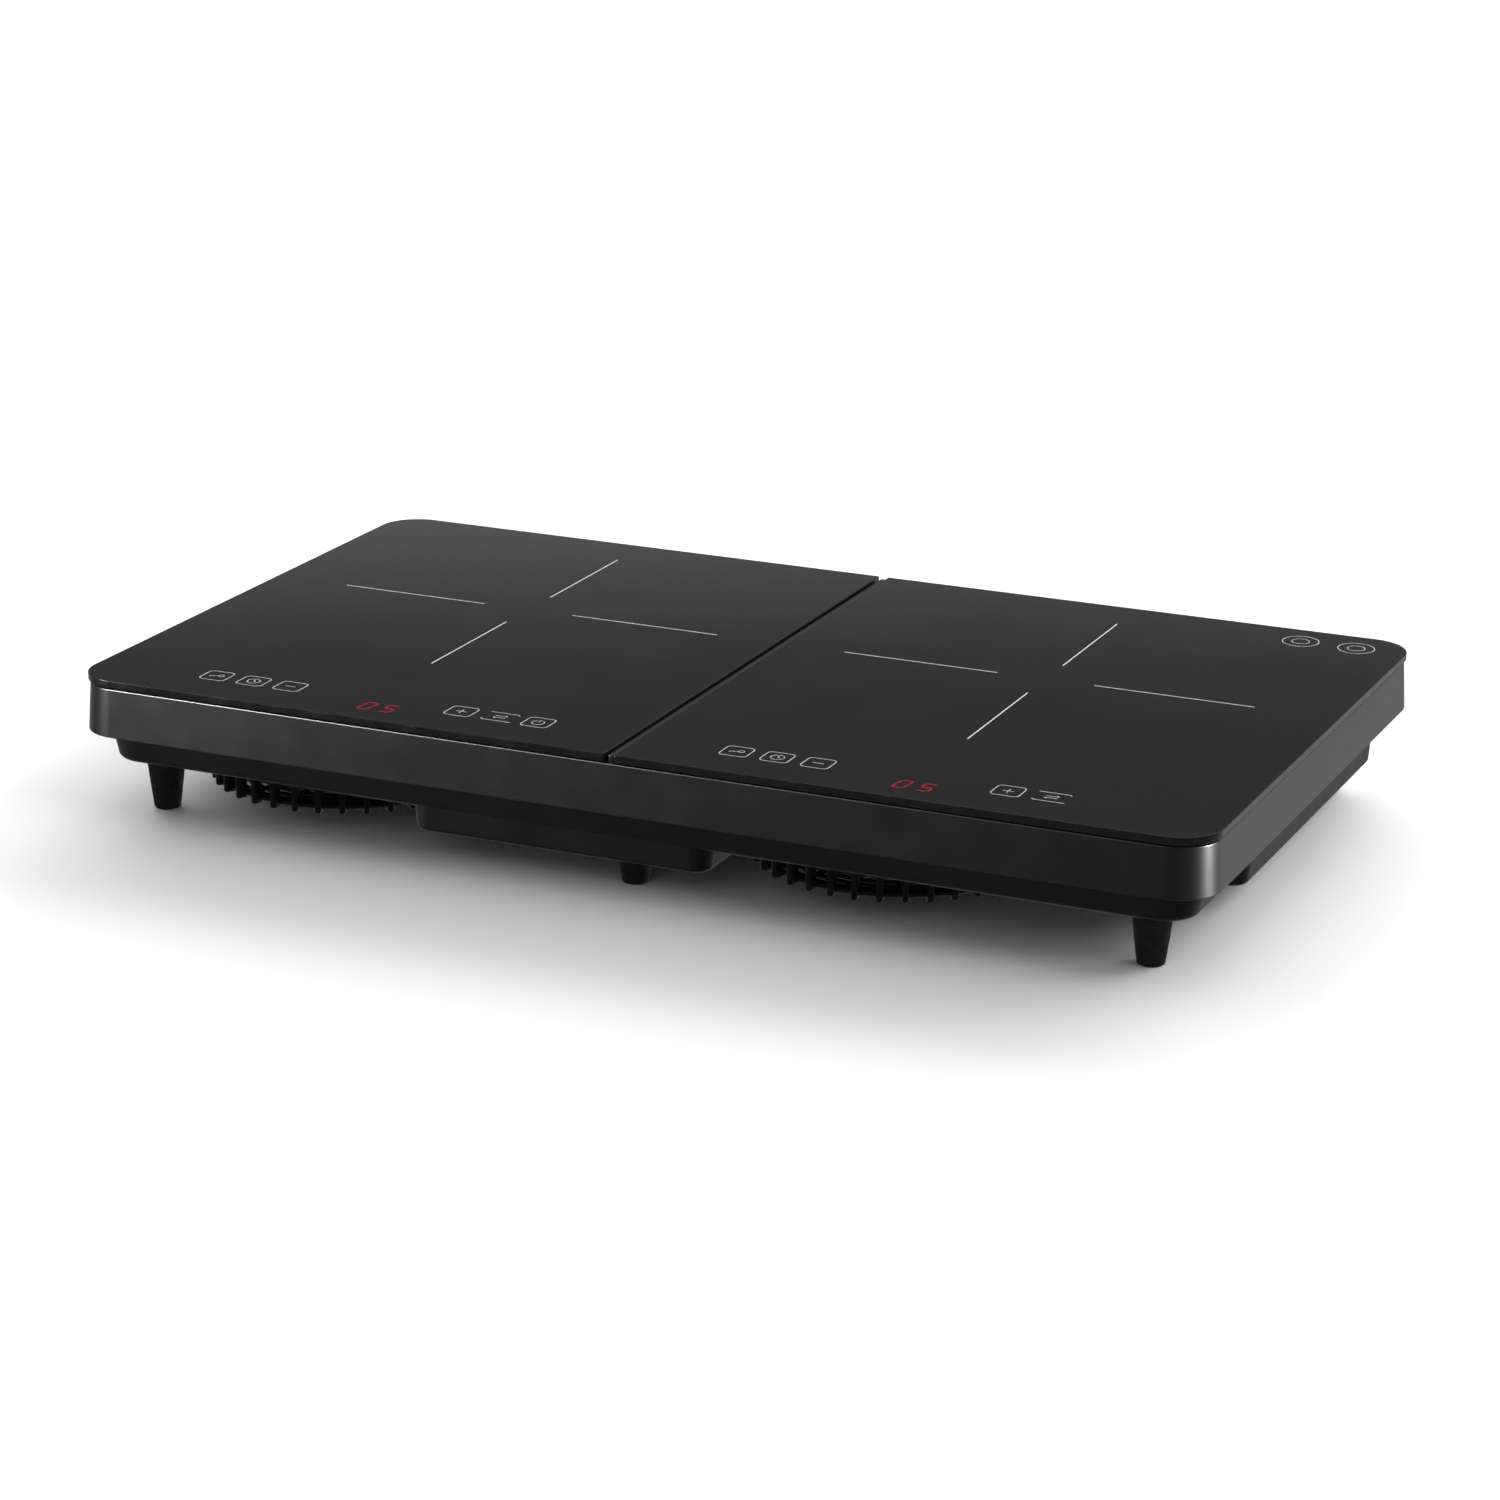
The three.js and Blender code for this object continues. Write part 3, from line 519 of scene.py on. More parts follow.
def mineral(name, dark, light, roughness, grain):
    look = Look(name, dark, roughness)
    look.tint(look.noise(grain * 4, 6), dark, light)
    look.gloss(look.noise(grain * 2, 4), roughness * 0.85, roughness * 1.1)
    return look.relief(look.cells(grain), 0.03)


def wire_skin(name, dark, light):
    look = Look(name, light, 0.45)
    look.tint(look.noise(5, 4), dark, light)
    look.gloss(look.noise(2, 3), 0.4, 0.55)
    return look.relief(look.noise(0.6, 3), 0.01)


GLASS = black_glass()
GLASS_EDGE = ground_edge()
INK = printed_ink()
RED_LIGHT = lit_red()
SHELL_PLASTIC = plastic("shell_plastic", (0.0055, 0.0055, 0.006), (0.008, 0.008, 0.0088), 0.3,
                        grain=0.3, depth=0.004, Specular_IOR_Level=0.13)
BASE_PLASTIC = plastic("base_plastic", (0.0045, 0.0045, 0.0048), (0.008, 0.008, 0.0084), 0.42,
                       Specular_IOR_Level=0.09)
FOOT_RUBBER = rubber("foot_rubber", (0.005, 0.005, 0.0053), (0.01, 0.01, 0.0104))
SEAL_RUBBER = rubber("seal_rubber", (0.02, 0.02, 0.021), (0.032, 0.032, 0.033))
SCREW_STEEL = metal("screw_steel", (0.34, 0.35, 0.37), (0.58, 0.59, 0.6), 0.3)
COIL_COPPER = litz_winding()
CARRIER_PLASTIC = plastic("carrier_plastic", (0.5, 0.48, 0.42), (0.62, 0.6, 0.53), 0.5)
FERRITE = mineral("ferrite", (0.028, 0.029, 0.032), (0.05, 0.051, 0.055), 0.55, 0.5)
MICA = mineral("mica", (0.36, 0.3, 0.2), (0.52, 0.46, 0.34), 0.4, 2.2)
FAN_PLASTIC = plastic("fan_plastic", (0.007, 0.007, 0.008), (0.013, 0.013, 0.014), 0.4, grain=0.6)
BOARD = circuit_board()
ALUMINIUM = metal("aluminium", (0.5, 0.51, 0.52), (0.72, 0.73, 0.74), 0.34, brushed=(14, 1, 1))
EPOXY = mineral("epoxy", (0.012, 0.012, 0.013), (0.024, 0.024, 0.026), 0.5, 0.25)
FILM_CASE = plastic("film_case", (0.5, 0.3, 0.03), (0.62, 0.4, 0.06), 0.36, grain=0.9)
CERAMIC = plastic("ceramic", (0.62, 0.6, 0.53), (0.74, 0.72, 0.66), 0.4, grain=0.5)
DISPLAY_CASE = plastic("display_case", (0.05, 0.006, 0.006), (0.09, 0.012, 0.012), 0.25, grain=0.5)
TINNED = metal("tinned", (0.5, 0.5, 0.5), (0.74, 0.74, 0.73), 0.32)
WIRE_LIVE = wire_skin("wire_live", (0.12, 0.04, 0.015), (0.2, 0.07, 0.025))
WIRE_NEUTRAL = wire_skin("wire_neutral", (0.01, 0.05, 0.22), (0.02, 0.09, 0.34))
WIRE_EARTH = wire_skin("wire_earth", (0.1, 0.24, 0.015), (0.5, 0.44, 0.02))


# ---------------- glass panes and what is printed on them
ARRIS = 0.5  # round on the edges of a pane
EDGE_SLOPE = 0.9  # faces with a less upright normal than this are ground, the others polished
PRINT_LOW = GLASS_TOP + 0.01
PRINT_HIGH = PRINT_LOW + 0.03
LINE = 0.66  # width of a zone mark
FRAME_LINE = 0.36  # round a key
ICON_LINE = 0.32
ZONE_MARK = (26.2, 110.2)  # ends of a zone mark, from the middle of the zone
KEY_Y = -144
KEY_SIZE = 14.2
KEY_CORNER = 2.6
KEYS = {  # key centres on the left pane
    "lock": -233.4, "timer": -212.2, "minus": -191.1, "plus": -94.8, "swap": -73.3, "power": -52.6,
}
KEY_SHIFT = {"left": 0, "right": 287}
RAIL = {"half": 6.4, "apart": 6.2, "bend": 1.8}  # two lines that frame the swap key
DIGITS = {"0": -140.7, "5": -128.5}  # numerals and their places on the left pane
DIGITS_Y = -155.8
DIGIT_SHIFT = {"left": 0, "right": 284.4}
DIGIT_HALF = (2.9, 5.4)
DIGIT_SLANT = 0.14
BAR_WIDTH = 1.05
BAR_GAP = 0.3  # between the end of a bar and the corner it points at
SEGMENTS = {  # ends of each bar of a seven-bar numeral, in half widths and half heights
    "a": ((-1, 1), (1, 1)), "b": ((1, 1), (1, 0)), "c": ((1, 0), (1, -1)), "d": ((-1, -1), (1, -1)),
    "e": ((-1, 0), (-1, -1)), "f": ((-1, 1), (-1, 0)), "g": ((-1, 0), (1, 0)),
}
NUMERALS = {"0": "abcdef", "5": "acdfg"}
CORNER_MARKS = (26.4, 56.3)  # in from the right edge
CORNER_MARKS_BACK = 21.5  # in from the back edge
CORNER_RINGS = ((9.5, 39, FRAME_LINE), (4.6, 29, ICON_LINE))  # radius, steps and line width


def pane_radii(side, inner=INNER_RADIUS):
    """Corner radii in the order of an outline, with the inner ones beside the divider."""
    radii = (inner, inner, CORNER_RADIUS, CORNER_RADIUS)
    return radii if side == "left" else radii[2:] + radii[:2]


def glass_pane(side):
    plate = tub(PANE[side].rect, pane_radii(side), rounded(GLASS_BOTTOM, GLASS_TOP, ARRIS, 4))
    pane = make(f"glass_pane_{side}", plate)
    finish(pane, GLASS, "black_glass", f"glass_{side}", angle=40)
    pane.data.materials.append(GLASS_EDGE.material)
    for face in pane.data.polygons:
        face.material_index = int(abs(face.normal.z) < EDGE_SLOPE)


def printed(path, width=LINE, closed=False):
    return ribbon(path, width, PRINT_LOW, PRINT_HIGH, closed)


def zone_print(side):
    zone = ZONE[side]
    marks = []
    for angle in (0, 90, 180, 270):
        ends = [polar(radius, angle) for radius in ZONE_MARK]
        marks.append(printed([(zone.x + x, zone.y + y) for x, y in ends]))
    finish(make(f"zone_print_{side}", *marks), INK, "black_glass")


def icon(kind, x, y):
    """Plain symbols: key, clock, minus, plus, two arrows and a power ring."""
    def line(*points):
        return printed([(x + dx, y + dy) for dx, dy in points], ICON_LINE)

    def bow(dx, dy, radius, start, end, closed=False):
        return printed(arc(x + dx, y + dy, radius, start, end), ICON_LINE, closed)

    if kind == "lock":
        bits = line((0.9, 0.3), (-3.4, -0.8), (-3.2, -2)), line((-1.6, -0.3), (-1.4, -1.5))
        return [bow(2.2, 0.6, 1.4, 0, 342, closed=True), *bits]
    if kind == "timer":
        return [bow(0, 0, 3.4, 0, 342, closed=True), line((0, 2.2), (0, 0), (1.6, -0.8))]
    if kind == "minus":
        return [line((-2.9, 0), (2.9, 0))]
    if kind == "plus":
        return [line((-2.9, 0), (2.9, 0)), line((0, -2.9), (0, 2.9))]
    if kind == "swap":
        return [line((-s * 3.2, s * 1.3), (s * 3.2, s * 1.3), (s * 1.8, s * 2.7)) for s in (-1, 1)]
    return [bow(0, -0.3, 3.2, 120, 420), line((0, 0.2), (0, 4))]


def key_frame(kind, x, y):
    if kind != "swap":
        path = outline(grown((x, x, y, y), KEY_SIZE / 2), (KEY_CORNER,) * 4, 5)
        return [printed(path, FRAME_LINE, closed=True)]
    bend = arc(RAIL["half"], RAIL["apart"] - RAIL["bend"], RAIL["bend"], 10, 90, 6)
    rail = np.array([*bend, (-RAIL["half"] - RAIL["bend"], RAIL["apart"])])
    return [printed((x, y) + rail * turn, FRAME_LINE) for turn in (1, -1)]


def key_places(side):
    """Kind and place along X of each key; only the left pane has a power key."""
    return [(kind, x + KEY_SHIFT[side]) for kind, x in KEYS.items() if side == "left" or kind != "power"]


def key_print(side):
    shapes = []
    for kind, x in key_places(side):
        shapes += key_frame(kind, x, KEY_Y) + icon(kind, x, KEY_Y)
    finish(make(f"key_print_{side}", *shapes), INK, "black_glass")


def numeral(value, x, y):
    bars = []
    for name in NUMERALS[value]:
        start, end = np.array(SEGMENTS[name]) * DIGIT_HALF
        along = (end - start) / np.linalg.norm(end - start)
        nose = along * BAR_WIDTH / 2
        across = np.array((-nose[1], nose[0]))
        start, end = start + along * BAR_GAP, end - along * BAR_GAP
        corners = (start, start + nose - across, end - nose - across,
                   end, end - nose + across, start + nose + across)
        bars.append(slab([(x + px + py * DIGIT_SLANT, y + py) for px, py in corners], PRINT_LOW, PRINT_HIGH))
    return bars


def display_digits(side):
    bars = []
    for value, x in DIGITS.items():
        bars += numeral(value, x + DIGIT_SHIFT[side], DIGITS_Y)
    finish(make(f"display_digits_{side}", *bars), RED_LIGHT, "display")


def corner_marks():
    """Two plain double rings near the rear right corner."""
    rings = []
    for inset in CORNER_MARKS:
        for radius, steps, width in CORNER_RINGS:
            end = 360 * steps / (steps + 1)
            path = arc(EDGE_RIGHT - inset, EDGE_BACK - CORNER_MARKS_BACK, radius, 0, end, steps)
            rings.append(printed(path, width, closed=True))
    finish(make("corner_print_right", *rings), INK, "black_glass")


for side in SIDES:
    glass_pane(side)
    zone_print(side)
    key_print(side)
    display_digits(side)
corner_marks()


# ---------------- upper housing
SHELL_TOP = GLASS_BOTTOM - 0.8
SHELL_LOW = 43.8
SHELL_INSET = 1.0  # the rim stands this far inside the glass edge
SHELL_WALL = 2.6
RIM_ROUND = 0.9
PLATE_LOW = SHELL_TOP - 3.4  # underside of the plate that carries the glass
LEDGE = (4, 10.5)  # seal channel, in from the pane edge
CHANNEL_LOW = SHELL_TOP - 1.9
SEAL_GAP = 2  # between the seal and the inner side of its channel
DIVIDER = (-1.0, 2.2)
POST_RADIUS = 4.6
SCREW_HOLE = 2.0  # radius of the holes for the foot screws


def housing_ring():
    """Section of the upper housing carried once round its outline."""
    inside = -SHELL_INSET - SHELL_WALL
    levels = [
        (SHELL_LOW, 0.8 - SHELL_WALL), (SHELL_LOW, 0),
        *quarter(0, SHELL_LOW + 0.5, 0.5, -60, 0, 3),
        *quarter(-SHELL_INSET - RIM_ROUND, SHELL_TOP - RIM_ROUND, RIM_ROUND, 5, 90, 6),
        (SHELL_TOP, 0.3 - LEDGE[0]), (SHELL_TOP - 0.3, -LEDGE[0]), (CHANNEL_LOW, -LEDGE[0]),
        (CHANNEL_LOW, -LEDGE[1]), (PLATE_LOW, -LEDGE[1]), (PLATE_LOW, inside - 1.2),
        (PLATE_LOW - 1.2, inside),
    ]
    return tub(WHOLE, CORNER_RADIUS, levels, closed=True)


def upper_housing():
    inner, outer = (PANE["right"].left + reach for reach in reversed(LEDGE))
    bridge = along_y(
        [(-inner, PLATE_LOW), (inner, PLATE_LOW), (inner, CHANNEL_LOW), (outer, CHANNEL_LOW),
         (outer, SHELL_TOP), (-outer, SHELL_TOP), (-outer, CHANNEL_LOW), (-inner, CHANNEL_LOW)],
        EDGE_FRONT + LEDGE[1] - 1, EDGE_BACK - LEDGE[1] + 1,
    )
    end = EDGE_BACK - SHELL_INSET - 0.8
    levels = [(PLATE_LOW, 0), *quarter(-0.5, UPPER.high - 0.5, 0.5, 0, 90, 4)]
    fin = tub((*DIVIDER, -end, end), 0.9, levels, 4)
    low = UPPER.low
    post = [(POST_RADIUS - 0.6, low), (POST_RADIUS, low + 0.6), (POST_RADIUS + 0.5, SHELL_TOP - 2)]
    posts, gussets, threads = [], [], []
    for foot in FOOT.values():
        posts.append(turned(post, foot.x, foot.y, 32))
        threads.append(rod(SCREW_HOLE, low - 1, low + 16, foot.x, foot.y))
        if abs(foot.x) > 1:
            reach = sorted((foot.x, copysign(EDGE_RIGHT - 2.2, foot.x)))
            gussets.append(brick(*reach, foot.y - 1.5, foot.y + 1.5, 47, PLATE_LOW + 0.5, 0.5))
    ribs = [brick(-14, 14, y - 1, y + 1, PLATE_LOW - 5, PLATE_LOW + 0.5, 0.3) for y in row(0, 11, 30)]
    housing = make("top_housing", housing_ring())
    add(housing, [bridge], [fin], posts, gussets, ribs)
    cut(housing, threads)
    finish(housing, SHELL_PLASTIC, "shell", "upper_housing", angle=30)


def glass_seal(side):
    low, high = CHANNEL_LOW + CLEARANCE, GLASS_BOTTOM - CLEARANCE
    inner = SEAL_GAP + 0.5 - LEDGE[1]
    levels = rounded(low, high, 0.5, 3, -LEDGE[0] - CLEARANCE)
    levels += quarter(inner, high - 0.5, 0.5, 90, 180, 3) + quarter(inner, low + 0.5, 0.5, 180, 270, 3)
    ring = tub(PANE[side].rect, pane_radii(side, INNER_RADIUS + 8), levels, 8, closed=True)
    finish(make(f"pane_seal_{side}", ring), SEAL_RUBBER, "silicone", f"glass_seal_{side}")


upper_housing()
for side in SIDES:
    glass_seal(side)


# ---------------- lower housing
BASE_TOP = 44.2
BASE_LOW = FOOT["front_left"].high + CLEARANCE
BASE_INSET = 8.5  # from the glass edge to the wall
BASE_RECT = grown(WHOLE, -BASE_INSET)
BASE_RADIUS = 20
BASE_DRAFT = 2.9
BASE_EDGE = 4
BASE_WALL = 2.2
FLANGE = 2.8  # flange edge, in from the glass edge
BELLY_LOW = LOWER.low
BELLY_RECT = (-284.5, 284.5, -66, 157)
STEP_RECT = (-116, 44, -159, -113)
BELLY_RADIUS = 9
BELLY_EDGE = 2.5
SCALLOP = 80  # round relief in the belly about each fan
FAN_OPENING = 64
HALF_MIDDLE = 150  # from the centre line to the middle of the slots on each side
SLOT_WIDTH = 4
VENT = (11, 10, 32, 41)  # exhaust slots in the back wall: count, pitch, lower and upper end
UNDER_VENT = (5, 14, 40, 110)  # slots under the belly: count, pitch, front and back end
CARRIER_EARS = (90, 205, 335)
EAR_RADIUS = 104
STANDOFF = (100, 22, 114)  # half spacing along X, then front and back


def sunk(rect, radius, floor, edge, top, growth, flare, steps):
    """Tray with a round lower edge and a leaning wall."""
    levels = [*quarter(growth - edge, floor + edge, edge, -90, 0, 6), (top, growth + flare)]
    return tub(rect, radius, levels, steps)


def pan_body(thickness):
    """Solids of the base pan; a thickness above 0 gives the hollow inside the walls."""
    floor, low = BASE_LOW + thickness, BELLY_LOW + thickness
    top = BASE_TOP + (5 if thickness else 0)
    inset = -BASE_DRAFT - thickness
    wall = sunk(BASE_RECT, BASE_RADIUS, floor, BASE_EDGE, top, inset, BASE_DRAFT, CORNER_STEPS)
    belly, step = (sunk(rect, BELLY_RADIUS, low, BELLY_EDGE, floor + 3, -thickness, 1.2, 8)
                   for rect in (BELLY_RECT, STEP_RECT))
    scallops = [rod(SCALLOP + thickness, low - 1, floor, fan.x, fan.y, 128) for fan in FAN.values()]
    return [wall], [belly], [step], scallops


def slots(middle, count, pitch, start, end):
    """Outlines of a row of slots with round ends."""
    r = SLOT_WIDTH / 2
    return [arc(x, end - r, r, 0, 180, 8) + arc(x, start + r, r, 180, 360, 8)
            for x in row(middle, count, pitch)]


def lower_housing():
    wall, belly, step, scallops = pan_body(0)
    pan = make("base_pan", *belly)
    cut(pan, scallops)
    flange = tub(grown(WHOLE, -FLANGE), CORNER_RADIUS - 2, [(BASE_TOP, -0.4), (BASE_TOP + 0.4, 0),
                                                            (BASE_TOP + 1.8, 0), (BASE_TOP + 2.2, -0.4)])
    add(pan, wall, step, [flange])
    wall, belly, step, scallops = pan_body(BASE_WALL)
    hollow = make("hollow", *belly)
    cut(hollow, scallops)
    add(hollow, wall, step)
    cut(pan, hollow)

    bosses, pillars, pins, ribs, holes, cuts = [], [], [], [], [], []
    for foot in FOOT.values():
        seat = foot.high + CLEARANCE
        bosses.append(rod(6.5, seat + 1, UPPER.low - CLEARANCE, foot.x, foot.y, 32, tip=5.5))
        holes.append(rod(SCREW_HOLE, seat - 1, UPPER.low + 1, foot.x, foot.y))
    for side in SIDES:
        zone, board, carrier, fan = ZONE[side], POWER[side], CARRIER[side], FAN[side]
        pin = [(2.1, carrier.low - 1), (2.1, carrier.high + 0.4), (1.5, carrier.high + 1)]
        rib = brick(-9, 9, -0.8, 0.8, BELLY_LOW + 1, 30, 0.3)
        for angle in CARRIER_EARS:
            x, y = np.add(polar(EAR_RADIUS, angle), (zone.x, zone.y))
            pillars.append(rod(5, BELLY_LOW + 1, carrier.low - CLEARANCE, x, y, tip=4.2))
            pins.append(turned(pin, x, y, 20))
            ribs += [[moved(rib, x, y, turn)] for turn in (angle, angle + 90)]
        for dx in (-STANDOFF[0], STANDOFF[0]):
            for y in STANDOFF[1:]:
                pillars.append(rod(3.6, BELLY_LOW + 1, board.low - CLEARANCE, board.x + dx, y, 20, tip=3))
        middle = copysign(HALF_MIDDLE, board.x)
        cuts += [along_y(slot, EDGE_BACK - 17, EDGE_BACK - 1) for slot in slots(middle, *VENT)]
        cuts += [slab(slot, BELLY_LOW - 5, BELLY_LOW + 5) for slot in slots(middle, *UNDER_VENT)]
        holes.append(rod(FAN_OPENING, BASE_LOW - 1, BASE_LOW + 4, fan.x, fan.y, 96))
    inlet = tube([(GLAND.x, EDGE_BACK - 22, GLAND.z), (GLAND.x, EDGE_BACK + 2, GLAND.z)], 7.3, 40)
    add(pan, bosses, pillars, pins, *ribs)
    cut(pan, holes, cuts, [inlet])
    finish(pan, BASE_PLASTIC, "base", "lower_housing", angle=30)


lower_housing()


# ---------------- air-intake grilles
GRILLE = Box("intake_grille_left")
GRILLE_RADIUS = 72
GRILLE_RIBS = 36
RIB = (3.6, 6)  # width and depth
FINE_HOOPS = (24, 31.5, 48.5, 55, 61)  # inner radii of the thin hoops
FINE_HOOP = 2.2  # their width
BARS_LOW = 13.2
BARS_HIGH = 16.2


def intake_grille(side):
    fan = FAN[side]
    width, depth = RIB
    place = (GRILLE_RADIUS - depth, GRILLE_RADIUS, -width / 2, width / 2)
    rib = tub(place, 1.6, [*quarter(-1.1, GRILLE.low + 1.1, 1.1, -80, 0, 4), (GRILLE.high - 1.6, 0)], 5)
    hub = turned([(0, BARS_LOW), (12.8, BARS_LOW), (14, BARS_LOW + 1.2), (14, BARS_HIGH - 0.6),
                  (13.4, BARS_HIGH), (0, BARS_HIGH)], segments=64)
    spoke = brick(13, 67, -1.5, 1.5, BARS_LOW, BARS_HIGH, 0.6)
    fine_bar = brick(41, 67, -1, 1, BARS_LOW + 0.3, BARS_HIGH - 0.3, 0.5, 0.7)
    fine_hoops = [hoop(inner, inner + FINE_HOOP, BARS_LOW + 0.5, BARS_HIGH - 0.5, 0.4, 96)
                  for inner in FINE_HOOPS]
    parts = [around(rib, GRILLE_RIBS, 180 / GRILLE_RIBS), [hoop(65.6, 68.2, BARS_LOW + 0.4, BARS_HIGH)],
             [hoop(38, 42, BARS_LOW, BARS_HIGH)], [hub], around(spoke, 8), around(fine_bar, 8, 22.5),
             fine_hoops]
    grille = make(f"fan_guard_{side}", hoop(66, 72.4, GRILLE.high - 2.4, GRILLE.high))
    carry(grille, fan)
    add(grille, *([moved(shape, fan.x, fan.y) for shape in part] for part in parts))
    finish(grille, BASE_PLASTIC, "base", f"intake_grille_{side}", angle=38)


for side in SIDES:
    intake_grille(side)


# ---------------- feet, their screws and the cable gland
SCREW_RECESS = 3.7
THREAD_CORE = 1.4
THREAD_CREST = 1.7
THREAD_PITCH = 1.2
FOOT_TIP = 6.9
FOOT_EDGE = 1.4  # round on the edge of the tip
FOOT_SLOPE = 0.114  # how much the radius grows with height
GLAND_BORE = 4.2


def foot_pad(foot):
    box = FOOT[foot]
    top = box.high
    seat = min(top - 4, 18)  # of the screw's head
    profile = [
        (SCREW_RECESS + 0.4, 0),
        *((FOOT_TIP - FOOT_EDGE + r, z) for z, r in quarter(0, FOOT_EDGE, FOOT_EDGE, -90, 0, 6)),
        (FOOT_TIP + FOOT_SLOPE * top / 2, top / 2), (FOOT_TIP + FOOT_SLOPE * top, top), (2, top), (2, seat),
        (SCREW_RECESS, seat), (SCREW_RECESS, 0.4),
    ]
    pad = make(f"foot_pad_{foot}", turned(profile, box.x, box.y, 56, closed=True))
    finish(pad, FOOT_RUBBER, "foot", f"foot_{foot}", angle=40)


def foot_screw(foot):
    """Pan-head screw with a cross recess and a thread."""
    box = Box(f"screw_{foot}")
    x, y, low, end = box.x, box.y, box.low, box.high - box.low
    core, crest, head = THREAD_CORE, THREAD_CREST, 2.4
    profile = [(0, 0.2), (2.0, 0), (2.9, 0.35), (3.2, 1.0), (3.2, head - 0.15), (3.05, head), (core, head)]
    z = head + 1.5
    while z < end - 3.4:
        profile += [(core, z), (crest, z + 0.35), (crest, z + 0.5), (core, z + 0.85)]
        z += THREAD_PITCH
    profile += [(core, end - 1.6), (0, end)]
    screw = make(f"foot_bolt_{foot}", turned(profile, x, y, 32, low=low))
    cross = [[brick(x - a, x + a, y - b, y + b, low - 1, low + 1.3, 0.15, 0.3)]
             for a, b in ((1.9, 0.4), (0.4, 1.9))]
    cut(screw, *cross)
    finish(screw, SCREW_STEEL, "steel", f"screw_{foot}", angle=32)


def cable_gland():
    """Grommet with a nut, grip ribs and an open bore, lying along Y."""
    wall = EDGE_BACK - BASE_INSET
    profile = [(GLAND_BORE, GLAND.front), (6.4, GLAND.front), (7, GLAND.front + 0.8), (7, wall - 2.6),
               (6.5, wall - 2.2), (6.5, wall - 1.2), (7, wall - 0.6), (7, wall + 1.2), (8.2, wall + 1.2),
               (8.2, wall + 2.4), (7.8, wall + 3.2), (7.2, wall + 3.5)]
    for step in range(3):
        y = wall + 3.9 + step * 1.35
        crest, root = 7.1 - step * 0.25, 6.3 - step * 0.2
        profile += [(crest, y), (crest, y + 0.5), (root, y + 0.75), (root, y + 1.1)]
    profile += [(5.6, GLAND.back), (4.6, GLAND.back), (GLAND_BORE, GLAND.back - 0.5)]
    rings = [[(GLAND.x + radius * cos(a), y, GLAND.z + radius * sin(a)) for a in circle(56)]
             for radius, y in profile]
    finish(make("inlet_grommet", skin(rings, closed=True)), SEAL_RUBBER, "silicone", "cable_gland", angle=40)


for foot in FEET:
    foot_pad(foot)
    foot_screw(foot)
cable_gland()


# ---------------- work coils and what lies round them
WIRE = 1.36  # radius of the litz wire
COIL_INNER = 25.4
TURN_PITCH = 2.9
TURN_STEPS = 56
LEAD_RADIUS = 1.5
TOOTH_START = 28.2


def work_coil(side):
    """One flat spiral of litz wire, with both ends led down to the board."""
    zone, board = ZONE[side], POWER[side]
    turns = int((zone.width / 2 - WIRE - COIL_INNER) / TURN_PITCH)
    spiral = []
    for i in range(turns * TURN_STEPS + 1):
        x, y = polar(COIL_INNER + TURN_PITCH * i / TURN_STEPS, 30 + 360 * i / TURN_STEPS)
        spiral.append((zone.x + x, zone.y + y, zone.z))
    leads = []
    for (x, y, z), out, tx in ((spiral[0], 0.86, board.x - 84), (spiral[-1], 1.06, board.x - 70)):
        ox, oy, ty = zone.x + (x - zone.x) * out, zone.y + (y - zone.y) * out, board.back - 14
        route = [(x, y, z), (ox, oy, z - 4), (ox, oy, z - 16), ((ox + tx) / 2, (oy + ty) / 2, z - 19),
                 (tx, ty, board.high + 12), (tx, ty, board.high + 0.6)]
        leads.append(tube(curve_through(route), LEAD_RADIUS))
    coil = make(f"litz_coil_{side}", tube(spiral, WIRE, 8), *leads)
    finish(coil, COIL_COPPER, "winding", f"coil_{side}", angle=60)


def coil_carrier(side):
    """Moulded spider: rings, arms with edge ribs, comb teeth that space the turns, and three ears."""
    low, high = CARRIER[side].low, CARRIER[side].high
    plate = high - 1.6
    arm = brick(25, 92, -6.5, 6.5, low, plate)
    ribs = [brick(28, 91, y - 0.6, y + 0.6, low, plate + 0.9, 0.2, 0.3) for y in (-6, 6)]
    places = [TOOTH_START + i * 2 * TURN_PITCH for i in range(11)]
    teeth = [brick(x, x + 0.7, -4.5, 4.5, plate - 0.5, plate + 1.4, 0.15, 0.3) for x in places]
    ear = brick(95, 110, -6, 6, low, low + 3, corner=5)
    hole = rod(2.6, low - 1, low + 4, EAR_RADIUS)
    carrier = make(f"coil_spider_{side}", hoop(20, 30, low, plate, 0.4, 72))
    edges = [around(rib, 6) for rib in ribs]
    combs = [tooth for comb in teeth for tooth in around(comb, 6)]
    ears = [moved(ear, turn=angle) for angle in CARRIER_EARS]
    add(carrier, [hoop(90, 97, low, high, 0.4, 120)], around(arm, 6), *edges, combs, ears)
    cut(carrier, [moved(hole, turn=angle) for angle in CARRIER_EARS])
    carry(carrier, ZONE[side])
    finish(carrier, CARRIER_PLASTIC, "carrier", f"coil_carrier_{side}")


